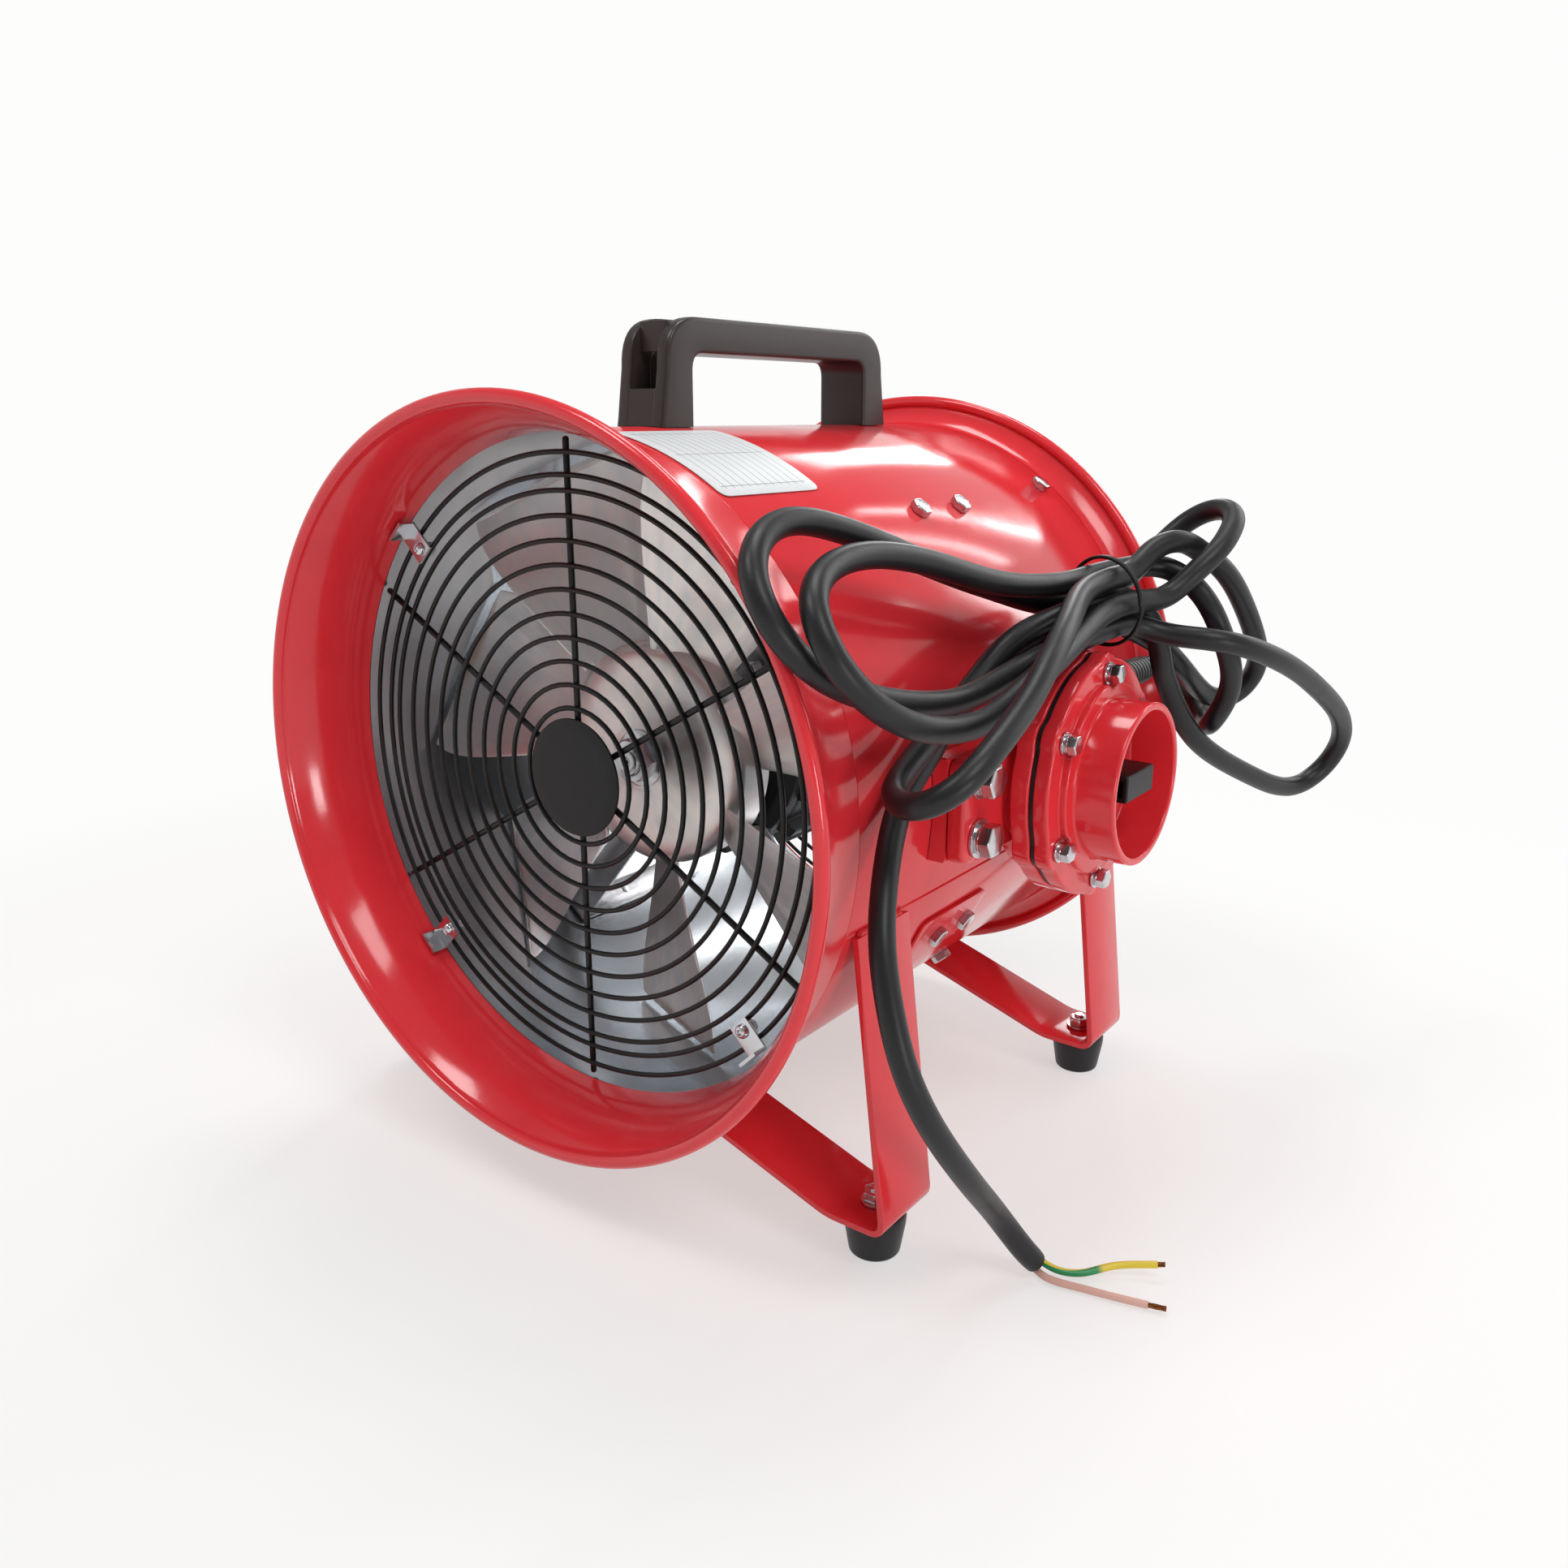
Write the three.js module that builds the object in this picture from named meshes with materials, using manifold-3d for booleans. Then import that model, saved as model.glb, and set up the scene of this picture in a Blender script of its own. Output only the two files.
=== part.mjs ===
// Portable axial ventilation blower for 300 mm duct, in millimetres.
// The fan axis lies along Y, the inlet bell opens towards -Y and the switch box stands out on +X.
// The blower is modelled about the foot of its fan axis at the bell's mouth, then moved so that the
// origin is the bottom centre of the box round everything but the free cord.

import * as THREE from 'three';
import { mergeVertices } from 'three/addons/utils/BufferGeometryUtils.js';
import Module from 'manifold-3d';

const wasm = await Module();
wasm.setup();

// Clearances and facet counts

const gap = { seat: 0.3, hole: 0.6, running: 0.5, bladeTip: 4, overrun: 2, weld: 0.5, merge: 0.0005 };
const facets = {
  large: 36, medium: 20, small: 12, bolt: 8, shank: 6, hex: 6, wire: 3, spoke: 4, round: 8, cutter: 72,
  leastRing: 7, ringLengthShare: 0.055,
};

const turn = { fullAngle: 360, quarterAngle: 90 };

// Driving dimensions

const barrel = { innerRadius: 152, wall: 1.5, rear: 322, groundClearance: 44.8 };
barrel.outerRadius = barrel.innerRadius + barrel.wall;
barrel.clearRadius = barrel.innerRadius * Math.cos(Math.PI / facets.large) - gap.seat;
barrel.seatRadius = barrel.outerRadius + gap.seat;

const axisHeight = barrel.outerRadius + barrel.groundClearance;

const bell = { flare: 17, beadRadius: 3.2, depth: 46, flarePower: 2, steps: 3 };
bell.rimRadius = barrel.innerRadius + bell.flare;
const outlet = { flare: 17.2, beadRadius: 3, depth: 15, flarePower: 1.6, steps: 2 };
outlet.rimRadius = barrel.innerRadius + outlet.flare;
const beadAngles = [240, 300, 360, 420, 480];
const casingMiddle = (bell.depth + barrel.rear) / 2;

const grille = {
  ringWire: 1.2, spokeWire: 1.5, hubRing: 14, clampInsets: [18, 8.5], spokeInset: 2, spokes: 6,
};
grille.clampRings = grille.clampInsets.map((inset) => barrel.innerRadius - inset);
grille.reach = barrel.innerRadius - grille.spokeInset;
const inletGrille = { firstRing: 31.8, ringInset: 24.6, rings: 10 };
inletGrille.face = bell.depth;
const outletGrille = { firstRing: 31.8, ringInset: 52.1, rings: 3, inset: 7 };
outletGrille.face = barrel.rear - outletGrille.inset;
const badge = { radius: 27.5, thickness: 1.6 };
const clip = { width: 14, sheet: 1.5, lap: 4, flange: 9, count: 4, firstAngle: 45 };
const clipScrew = { radius: 1.8, head: 4, headHeight: 2.6, nut: 3.5, nutHeight: 2.6 };

const hub = { radius: 55, depth: 30, wall: 3, boss: 16, dome: 4, shoulder: 12 };
const fan = {
  behindBell: 57, bladeCount: 7, firstAngle: 118, sheet: 2.2, rootShare: 0.31, tipShare: 0.335,
  rootPitch: 34, tipPitch: 25, camberHeight: 5, tipTrimShare: 0.16, tipTrimPower: 6, spanSteps: 3,
  chordSteps: 3,
};
fan.centre = bell.depth + fan.behindBell;

const shaft = { radius: 7, stub: 2 };
const shaftNut = { across: 22, height: 6.2, flange: 14, flangeHeight: 1.6 };
const motor = {
  behindFan: 27, length: 98, stackInner: 34, stackOuter: 50, wall: 7.5, fin: 7, fins: 16, finShare: 0.42,
};
motor.front = fan.centre + hub.depth / 2 + motor.behindFan;
const motorCap = { depth: 11, bearingOuter: 17, bearingWidth: 8, lip: 6 };
const winding = { depth: 12, inner: 37, outer: 47 };
const rotorCore = { length: 56, slotGap: 0.6 };
const bracket = {
  angles: [49, 131, 230, 310], width: 16, sheet: 3, start: 44, foot: 100, screwInsets: [27, 64],
};
bracket.screws = bracket.screwInsets.map((inset) => motor.front + inset);
const bracketBolt = { radius: 2.5, head: 4.2, headHeight: 3.4, depth: 13, hole: 16 };
const barrelScrew = { radius: 2.5, head: 5.2, headHeight: 3.6, nut: 4.6, nutHeight: 3.6 };
const rimScrew = { angles: [52, 142, 232, 322], inset: 14 };
rimScrew.place = barrel.rear - rimScrew.inset;
const lapPlate = {
  fromAngle: -33, toAngle: -18, behindBell: 66, length: 64, sheet: 1.5, boltInsets: [26, 52],
  boltAngle: -28.5,
};
lapPlate.front = bell.depth + lapPlate.behindBell;
lapPlate.rear = lapPlate.front + lapPlate.length;
lapPlate.bolts = lapPlate.boltInsets.map((inset) => lapPlate.front + inset);

const box = {
  behindMiddle: 4, radius: 46, wall: 8, standOff: 7.1, floor: 5, shell: 12.4, rim: 8.5, flangeLap: 6,
  wirePassage: 6, wireSide: 31.5,
};
box.along = casingMiddle + box.behindMiddle;
box.cavity = box.radius - box.wall;
box.flangeRadius = box.radius + box.flangeLap;
box.back = barrel.outerRadius + box.standOff;
box.neck = box.back + box.shell;
box.flange = box.neck + box.rim;
const ear = { overhang: 41, low: -24, high: 22, thickness: 8 };
ear.reach = box.radius + ear.overhang;
const saddleBolt = {
  radius: 4, head: 7.6, headHeight: 5.6, washer: 8.6, washerHeight: 3.4, inset: 13, height: 13,
  length: 12,
};
const gasket = { thickness: 1.8 };
const cover = {
  flange: 7, boss: 3.6, bossLap: 6, collarInset: 9, collarWall: 3.6, collar: 22,
};
cover.bossRadius = box.cavity + cover.bossLap;
cover.collarOuter = box.radius - cover.collarInset;
const coverBolt = {
  count: 6, outset: 2, lobe: 9, radius: 2.5, head: 4.6, headHeight: 4, washer: 5.2,
  washerHeight: 2.6, length: 13,
};
coverBolt.circle = box.radius + coverBolt.outset;
const knob = {
  base: 12, baseHeight: 4.5, grip: 30, gripWidth: 12.5, gripHeight: 14, slotWidth: 6.5, slotHeight: 4.5,
};
const spindle = { radius: 4 };
const mechanism = { radius: 26, depth: 7 };
const gland = {
  boss: 8.4, bossReach: 10, bore: 6.2, nutAcross: 19, nutLength: 12, sleeve: 8.2, sleeveTip: 6.9,
  sleeveLength: 26, overEar: 11, drop: 9.4,
};
gland.height = ear.high + gland.overEar;
gland.place = box.back + gland.drop;

const handle = {
  behindBell: 47.5, beforeRear: 44.5, rise: 47.5, width: 29, cheek: 6.6, bar: 15.5, leg: 22, web: 5,
  solidFoot: 16, corner: 22, inner: 8, taper: 4, cornerSteps: 5,
};
handle.front = bell.depth + handle.behindBell;
handle.rear = barrel.rear - handle.beforeRear;
handle.top = barrel.outerRadius + handle.rise;
const handleScrew = { radius: 3, head: 5.4, headHeight: 1.6, depth: 12 };

const stand = {
  behindBell: 5, beforeRear: 59, strap: 39, sheet: 3, legTopDrop: 44.3, legFootOutset: 9.5, flat: 27,
  meetAngle: 17.8, footHeight: 20.4, bend: 4, arcSteps: 10,
};
stand.fronts = [bell.depth + stand.behindBell, barrel.rear - stand.beforeRear];
stand.legTopHeight = axisHeight - stand.legTopDrop;
stand.legFootHalf = barrel.outerRadius + stand.legFootOutset;
stand.flatHalf = stand.legFootHalf - stand.flat;
const foot = { top: 14, bottom: 11.5, recess: 4, recessRadius: 6, inset: 14, socket: 4 };
const footStud = { radius: 3, nut: 5.6, nutHeight: 4.6, washer: 6.6, washerHeight: 1.4, tail: 2 };

const label = { behindBell: 2, length: 66, fromAngle: 56, toAngle: 80, thickness: 0.4 };
label.front = bell.depth + label.behindBell;
label.rear = label.front + label.length;

// The cord is one length: every named list below is the part of it between two passes through the tie.
const cord = { diameter: 10.5, sides: 6, steps: 196, entry: 30, heldSteps: 9, heldEndSteps: 3 };
const tie = {
  centre: [177, 212, 274.5], along: [0.25, 0.95, 0.1], spread: 11.4, halfPass: 13, wire: 1, sides: 20,
};
const bendStencil = [1, -4, 6, -4, 1];
const tieSlots = { top: 60, upper: 120, back: 180, lower: 240, bottom: 300, front: 0 };
const easing = {
  spacing: 8, rounds: 300, keepShare: 0.04, stiffShare: 0.06, bendRadius: 24, bendShare: 0.3,
  bendSteps: 2, clear: 2.8, partShare: 0.35, neighbourCount: 4, offCasing: 1.2, fineCount: 40,
  sampleCount: 4,
};
const cordLists = {
  innerRight: [
    [170, 300, 231], [174, 320, 224], [184, 335, 207], [206, 288, 207], [216, 283, 226],
    [217, 262, 253], [206, 254, 278], [190, 253, 288],
  ],
  innerLeft: [
    [162, 137, 289], [154, 82, 303], [151, 48, 307], [154, 19, 303], [162, 2, 293], [172, 1, 277],
    [180, 17, 259], [185, 45, 247], [190, 76, 245], [192, 109, 255],
  ],
  tallRight: [
    [196, 232, 273], [208, 257, 295], [211, 280, 309], [202, 293, 316], [188, 293, 310],
    [175, 284, 294],
  ],
  outerLeft: [
    [150, 147, 286], [144, 99, 301], [137, 60, 314], [133, 25, 320], [139, -2, 309], [150, -8, 292],
    [159, 6, 272], [166, 38, 257], [172, 67, 251], [175, 94, 250], [179, 120, 257],
  ],
  bigRight: [
    [197, 233, 258], [219, 237, 258], [236, 264, 249], [246, 317, 227], [248, 376, 194],
    [241, 390, 169], [229, 371, 159], [215, 325, 174], [199, 273, 206], [190, 257, 238],
  ],
  smallLeft: [
    [170, 133, 263], [165, 107, 247], [163, 84, 234], [166, 60, 226], [173, 40, 222], [184, 27, 219],
    [196, 28, 222], [204, 48, 238], [204, 81, 252], [198, 118, 269],
  ],
  upperRight: [
    [186, 235, 296], [197, 246, 301], [207, 268, 291], [213, 298, 267], [214, 324, 240],
    [208, 340, 217], [199, 336, 207], [194, 305, 220], [192, 265, 241],
  ],
  tail: [
    [166, 165, 256], [160, 125, 246], [156, 96, 228], [160, 66, 211], [168, 44, 194], [179, 23, 170],
    [187, 17, 149], [194, 15, 129], [201, 23, 104], [206, 46, 70], [204, 80, 33], [211, 90, 15],
    [215, 95, 7],
  ],
};
const core = { radius: 1.6, offset: 2.2, start: 0.5, straight: 2, sides: 5, steps: 9 };
const corePoints = {
  core_green_yellow: [[224, 98, 5], [232, 103, 4], [244, 115, 6], [261, 125, 8]],
  core_pink: [[222, 93, 3], [239, 96, 3], [256, 100, 3], [270, 104, 3]],
};

// Colours and finishes

const finish = (color, roughness, metalness) => (
  new THREE.MeshStandardMaterial({ color, roughness, metalness })
);
const finishes = {
  redEnamel: finish(0xd8262c, 0.25, 0.05),
  blackPlastic: finish(0x2e2a29, 0.5, 0),
  blackWire: finish(0x141414, 0.4, 0.2),
  aluminium: finish(0xb9b2ad, 0.45, 0.8),
  steel: finish(0xc6c7c9, 0.3, 1),
  darkCasting: finish(0x3a3c3f, 0.55, 0.5),
  copper: finish(0xb87333, 0.35, 1),
  rubber: finish(0x1b1b1c, 0.8, 0),
  paper: finish(0xd9dadb, 0.6, 0),
  green: finish(0x2e9a5a, 0.5, 0),
  pink: finish(0xe0b4a4, 0.5, 0),
};

// Geometry helpers

const degrees = (angle) => THREE.MathUtils.degToRad(angle);

/** Welds a closed geometry's vertices, turns its faces outwards and hands it to the solid library. */
function solid(geometry) {
  const bare = new THREE.BufferGeometry();
  bare.setAttribute('position', geometry.getAttribute('position').clone());
  if (geometry.index) bare.setIndex(geometry.index.clone());
  const welded = mergeVertices(bare, gap.merge);
  const place = welded.getAttribute('position').array;
  const triangles = [];
  let volume = 0;
  for (let i = 0; i < welded.index.count; i += 3) {
    const [a, b, c] = [0, 1, 2].map((k) => welded.index.getX(i + k));
    if (a === b || b === c || c === a) continue;
    triangles.push(a, b, c);
    const [p, q, r] = [a, b, c].map((k) => new THREE.Vector3().fromArray(place, 3 * k));
    volume += p.dot(q.cross(r));
  }
  if (volume < 0) triangles.reverse();
  return new wasm.Manifold(new wasm.Mesh({
    numProp: 3, vertProperties: Float32Array.from(place), triVerts: Uint32Array.from(triangles),
  }));
}

const unite = (...geometries) => geometries.map(solid).reduce((sum, next) => sum.add(next));
const less = (body, ...geometries) => geometries.reduce(
  (rest, tool) => rest.subtract(solid(tool)), body,
);

/** A named mesh of a finished solid, in the frame of the group that it is added to. */
function piece(name, body, material) {
  const { vertProperties, triVerts } = body.getMesh();
  const geometry = new THREE.BufferGeometry();
  geometry.setAttribute('position', new THREE.BufferAttribute(Float32Array.from(vertProperties), 3));
  geometry.setIndex(new THREE.BufferAttribute(Uint32Array.from(triVerts), 1));
  geometry.computeVertexNormals();
  const mesh = new THREE.Mesh(geometry, material);
  mesh.name = name;
  return mesh;
}

/** A profile of [radius, place along Y] points turned about Y; one that leaves the axis is closed. */
function turned(profile, sides) {
  const open = profile.map(([radius, along]) => new THREE.Vector2(radius, along));
  const onAxis = profile[0][0] === 0 && profile[profile.length - 1][0] === 0;
  return new THREE.LatheGeometry(onAxis ? open : [...open, open[0].clone()], sides);
}

const ring = (inner, outer, from, to, sides) => turned(
  [[inner, from], [outer, from], [outer, to], [inner, to]], sides,
);
const rod = (radius, from, to, sides) => turned(
  [[0, from], [radius, from], [radius, to], [0, to]], sides,
);

function block(xFrom, xTo, yFrom, yTo, zFrom, zTo) {
  const geometry = new THREE.BoxGeometry(xTo - xFrom, yTo - yFrom, zTo - zFrom);
  return geometry.translate((xFrom + xTo) / 2, (yFrom + yTo) / 2, (zFrom + zTo) / 2);
}

/** A torus round Y. */
function wireRing(radius, wire, sides, place) {
  const torus = new THREE.TorusGeometry(radius, wire, facets.wire, sides);
  return torus.rotateX(Math.PI / 2).translate(0, place, 0);
}

/** Turns a geometry built along Y so that it points away from the fan axis at an angle from +X. */
const outwards = (geometry, angle) => geometry.rotateZ(-Math.PI / 2).rotateY(-degrees(angle));

/** Moves a geometry along Y and turns it about Y, as a pattern round the fan axis needs. */
const around = (geometry, angle) => geometry.rotateY(-degrees(angle));

/** A screw along Y whose seat is at zero: shank below, washer and round or hexagonal head above. */
function screw({ radius, head, headHeight, washer = 0, washerHeight = 0 }, length, sides = facets.bolt) {
  const parts = [rod(radius, -length, washerHeight + headHeight / 2, facets.shank)];
  if (washerHeight > 0) parts.push(rod(washer, 0, washerHeight, facets.bolt));
  parts.push(rod(head, washerHeight, washerHeight + headHeight, sides));
  return parts;
}

/**
 * A line of [x, y] points moved sideways by a distance, to the right of its run, with mitred corners.
 */
function offsetLine(points, distance) {
  const normals = points.slice(1).map(([x, y], i) => {
    const [dx, dy] = [x - points[i][0], y - points[i][1]];
    const length = Math.hypot(dx, dy);
    return [dy / length, -dx / length];
  });
  return points.map(([x, y], i) => {
    const before = normals[Math.max(i - 1, 0)];
    const after = normals[Math.min(i, normals.length - 1)];
    const mitre = distance / (1 + before[0] * after[0] + before[1] * after[1]);
    return [x + (before[0] + after[0]) * mitre, y + (before[1] + after[1]) * mitre];
  });
}

const outlineOf = (points) => new THREE.Shape(points.map(([x, y]) => new THREE.Vector2(x, y)));

// Casing

/**
 * A spun mouth: thin sheet that flares from the barrel's radius to a rolled bead, as one closed
 * profile.
 */
function mouthBody(mouth) {
  const { beadRadius, depth, steps } = mouth;
  const beadCentre = mouth.rimRadius - beadRadius;
  const lip = beadCentre - beadRadius;
  const inner = Array.from({ length: steps + 1 }, (_, i) => {
    const share = i / steps;
    return [
      barrel.innerRadius + (lip - barrel.innerRadius) * share ** mouth.flarePower,
      depth - (depth - beadRadius) * share,
    ];
  });
  const bead = beadAngles.map((angle) => [
    beadCentre + beadRadius * Math.cos(degrees(angle)),
    beadRadius + beadRadius * Math.sin(degrees(angle)),
  ]);
  const outer = inner.slice(0, -1).map(([radius, along]) => [radius + barrel.wall, along]).reverse();
  return solid(turned([...inner, ...bead, ...outer], facets.large));
}

function inletBell() {
  return piece('inlet_bell', mouthBody(bell), finishes.redEnamel);
}

/** The outlet rim is the same form turned to face the rear. */
function outletRim() {
  const rim = piece('outlet_rim', mouthBody(outlet), finishes.redEnamel);
  rim.rotation.z = Math.PI;
  rim.position.y = barrel.rear + gap.seat + outlet.depth;
  return rim;
}

const throughBarrel = (radius, angle, along) => outwards(
  rod(radius, barrel.innerRadius - gap.overrun, barrel.outerRadius + gap.overrun, facets.shank), angle,
).translate(0, along, 0);

function barrelShell() {
  const tube = unite(
    ring(barrel.innerRadius, barrel.outerRadius, bell.depth + gap.seat, barrel.rear, facets.large),
  );
  const holes = [];
  for (const angle of bracket.angles) {
    for (const along of bracket.screws) {
      holes.push(throughBarrel(barrelScrew.radius + gap.hole, angle, along));
    }
  }
  for (const angle of rimScrew.angles) {
    holes.push(throughBarrel(barrelScrew.radius + gap.hole, angle, rimScrew.place));
  }
  for (const along of lapPlate.bolts) {
    holes.push(throughBarrel(barrelScrew.radius + gap.hole, lapPlate.boltAngle, along));
  }
  for (const along of handleLegCentres) {
    holes.push(throughBarrel(handleScrew.radius + gap.hole, turn.quarterAngle, along));
  }
  holes.push(throughBarrel(box.wirePassage, 0, box.along + box.wireSide));
  return piece('barrel_shell', less(tube, ...holes), finishes.redEnamel);
}

/**
 * A screw through the barrel's wall, with its head outside and, where a nut's radius is given, a nut
 * inside.
 */
function wallScrew(angle, along, seat, end, nutRadius = 0) {
  const parts = screw(barrelScrew, seat - end);
  const nutSeat = end - seat;
  if (nutRadius > 0) parts.push(rod(nutRadius, nutSeat, nutSeat + barrelScrew.nutHeight, facets.hex));
  return parts.map((part) => outwards(part.translate(0, seat, 0), angle).translate(0, along, 0));
}

/**
 * A curved doubler on the outside of the barrel, over the lap of its sheet, with the two bolts that
 * hold it.
 */
function lapPlatePiece() {
  const inner = barrel.seatRadius;
  const shape = new THREE.Shape();
  const [from, to] = [degrees(lapPlate.fromAngle), degrees(lapPlate.toAngle)];
  shape.absarc(0, 0, inner + lapPlate.sheet, from, to, false);
  shape.absarc(0, 0, inner, to, from, true);
  const depth = lapPlate.rear - lapPlate.front;
  const plate = new THREE.ExtrudeGeometry(
    shape, { depth, bevelEnabled: false, curveSegments: facets.spoke },
  );
  plate.rotateX(Math.PI / 2).translate(0, lapPlate.rear, 0);
  const end = barrel.clearRadius - barrelScrew.nutHeight;
  const bolts = lapPlate.bolts.flatMap((along) => wallScrew(
    lapPlate.boltAngle, along, inner + lapPlate.sheet - gap.weld, end, barrelScrew.nut,
  ));
  return piece('lap_plate', unite(plate, ...bolts), finishes.redEnamel);
}

// Grilles

const ringSides = (radius) => Math.round(facets.leastRing + radius * facets.ringLengthShare);

function grilleWires({ firstRing, ringInset, rings, face }) {
  const spacing = (barrel.innerRadius - ringInset - firstRing) / (rings - 1);
  const radii = [
    grille.hubRing, ...Array.from({ length: rings }, (_, i) => firstRing + spacing * i),
    ...grille.clampRings,
  ];
  const parts = radii.map((radius) => wireRing(radius, grille.ringWire, ringSides(radius), face));
  const behind = face + grille.ringWire + grille.spokeWire - 2 * gap.weld;
  for (let i = 0; i < grille.spokes; i += 1) {
    const spoke = rod(grille.spokeWire, grille.hubRing, grille.reach, facets.spoke);
    const angle = turn.quarterAngle + (turn.fullAngle * i) / grille.spokes;
    parts.push(outwards(spoke, angle).translate(0, behind, 0));
  }
  return parts;
}

function inletGrillePieces() {
  const front = inletGrille.face - grille.ringWire - gap.seat;
  return [
    piece('inlet_grille', unite(...grilleWires(inletGrille)), finishes.blackWire),
    piece(
      'grille_badge', solid(rod(badge.radius, front - badge.thickness, front, facets.medium)),
      finishes.blackPlastic,
    ),
  ];
}

/** An angle clip at +X: a tab in front of the two clamp rings, and a flange along the barrel's wall. */
function clipParts(tabRear, flangeLength) {
  const outer = Math.sqrt(barrel.clearRadius ** 2 - (clip.width / 2) ** 2);
  const half = clip.width / 2;
  return [
    block(grille.clampRings[0] - clip.lap, outer, tabRear - clip.sheet, tabRear, -half, half),
    block(outer - clip.sheet, outer, tabRear - flangeLength, tabRear, -half, half),
  ];
}

/** Each clip of the inlet grille with the screw and nut that clamp the rings to it. */
function inletClips() {
  const tabRear = inletGrille.face - grille.ringWire - gap.seat;
  const nutFront = inletGrille.face + grille.ringWire + gap.seat;
  const [innerRing, outerRing] = grille.clampRings;
  const screwRadius = (innerRing + outerRing * Math.cos(Math.PI / ringSides(outerRing))) / 2;
  return Array.from({ length: clip.count }, (_, i) => {
    const seat = tabRear - clip.sheet + gap.weld;
    const length = nutFront + clipScrew.nutHeight - seat;
    const parts = screw(clipScrew, length).map(
      (part) => part.rotateX(Math.PI).translate(screwRadius, seat, 0),
    );
    parts.push(
      rod(
        clipScrew.nut, nutFront, nutFront + clipScrew.nutHeight, facets.hex,
      ).translate(screwRadius, 0, 0),
    );
    const mesh = piece(
      `inlet_grille_clip_${i + 1}`, unite(...clipParts(tabRear, clip.flange), ...parts), finishes.steel,
    );
    mesh.rotation.y = -degrees(clip.firstAngle + (turn.fullAngle * i) / clip.count);
    return mesh;
  });
}

/** The outlet grille, with the four tabs welded to it and the screws that hold them to the barrel. */
function outletGrillePiece() {
  const tabRear = outletGrille.face - grille.ringWire + gap.weld;
  const tabs = rimScrew.angles.flatMap(
    (angle) => clipParts(tabRear, 2 * clip.flange).map((part) => around(part, angle)),
  );
  const end = barrel.clearRadius - 2 * clip.sheet;
  const screws = rimScrew.angles.flatMap(
    (angle) => wallScrew(angle, rimScrew.place, barrel.seatRadius, end),
  );
  return piece(
    'outlet_grille', unite(...grilleWires(outletGrille), ...tabs, ...screws), finishes.blackWire,
  );
}

// Fan wheel

const hubFront = fan.centre - hub.depth / 2;
const hubRear = fan.centre + hub.depth / 2;

function hubProfile() {
  const bore = shaft.radius + gap.seat;
  const { radius, dome, shoulder, wall, boss } = hub;
  return [
    [bore, hubFront], [boss, hubFront],
    [radius - shoulder, hubFront + dome / 2], [radius - dome, hubFront + dome],
    [radius, hubFront + 2 * dome], [radius, hubRear], [radius - wall, hubRear],
    [radius - wall, hubFront + 2 * dome + wall / 2], [radius - dome - wall, hubFront + dome + wall],
    [boss, hubFront + dome + wall], [boss, hubRear - wall], [bore, hubRear - wall],
  ];
}

/**
 * Middle surface of a blade at a share of its span and of its half width, as [radius, angle, along].
 */
function bladePoint(spanShare, widthShare) {
  const root = hub.radius - hub.wall / 2;
  const radius = root + (barrel.innerRadius - gap.bladeTip - root) * spanShare;
  const pitch = fan.rootPitch + (fan.tipPitch - fan.rootPitch) * spanShare;
  const share = fan.rootShare + (fan.tipShare - fan.rootShare) * Math.sin((Math.PI / 2) * spanShare);
  const angle = share * (1 - fan.tipTrimShare * spanShare ** fan.tipTrimPower) * widthShare;
  const camber = fan.camberHeight * spanShare * (1 - widthShare ** 2);
  return [radius, angle, fan.centre - Math.tan(degrees(pitch)) * radius * angle + camber];
}

/** A closed sheet: the grid of its middle surface, moved half its thickness forwards and backwards. */
function bladeGeometry(baseAngle) {
  const [spans, chords] = [fan.spanSteps, fan.chordSteps];
  const count = (spans + 1) * (chords + 1);
  const points = [];
  for (const side of [-1, 1]) {
    for (let i = 0; i <= spans; i += 1) {
      for (let j = 0; j <= chords; j += 1) {
        const [radius, angle, along] = bladePoint(i / spans, (2 * j) / chords - 1);
        const theta = degrees(baseAngle) + angle;
        points.push(radius * Math.cos(theta), along + (side * fan.sheet) / 2, radius * Math.sin(theta));
      }
    }
  }
  const at = (side, i, j) => side * count + i * (chords + 1) + j;
  const faces = [];
  const quad = (a, b, c, d) => faces.push(a, b, c, a, c, d);
  for (let i = 0; i < spans; i += 1) {
    for (let j = 0; j < chords; j += 1) {
      quad(at(0, i, j), at(0, i + 1, j), at(0, i + 1, j + 1), at(0, i, j + 1));
      quad(at(1, i, j), at(1, i, j + 1), at(1, i + 1, j + 1), at(1, i + 1, j));
    }
    quad(at(0, i, 0), at(1, i, 0), at(1, i + 1, 0), at(0, i + 1, 0));
    quad(at(0, i, chords), at(0, i + 1, chords), at(1, i + 1, chords), at(1, i, chords));
  }
  for (let j = 0; j < chords; j += 1) {
    quad(at(0, 0, j), at(0, 0, j + 1), at(1, 0, j + 1), at(1, 0, j));
    quad(at(0, spans, j), at(1, spans, j), at(1, spans, j + 1), at(0, spans, j + 1));
  }
  const geometry = new THREE.BufferGeometry();
  geometry.setAttribute('position', new THREE.Float32BufferAttribute(points, 3));
  geometry.setIndex(faces);
  return geometry;
}

/** The wheel is one casting: a domed hub with its blades. */
function fanWheel() {
  const blades = Array.from(
    { length: fan.bladeCount },
    (_, i) => bladeGeometry(fan.firstAngle + (turn.fullAngle * i) / fan.bladeCount),
  );
  return piece('fan_wheel', unite(turned(hubProfile(), facets.medium), ...blades), finishes.aluminium);
}

const nutFront = hubFront - gap.seat - shaftNut.flangeHeight - shaftNut.height;

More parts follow.
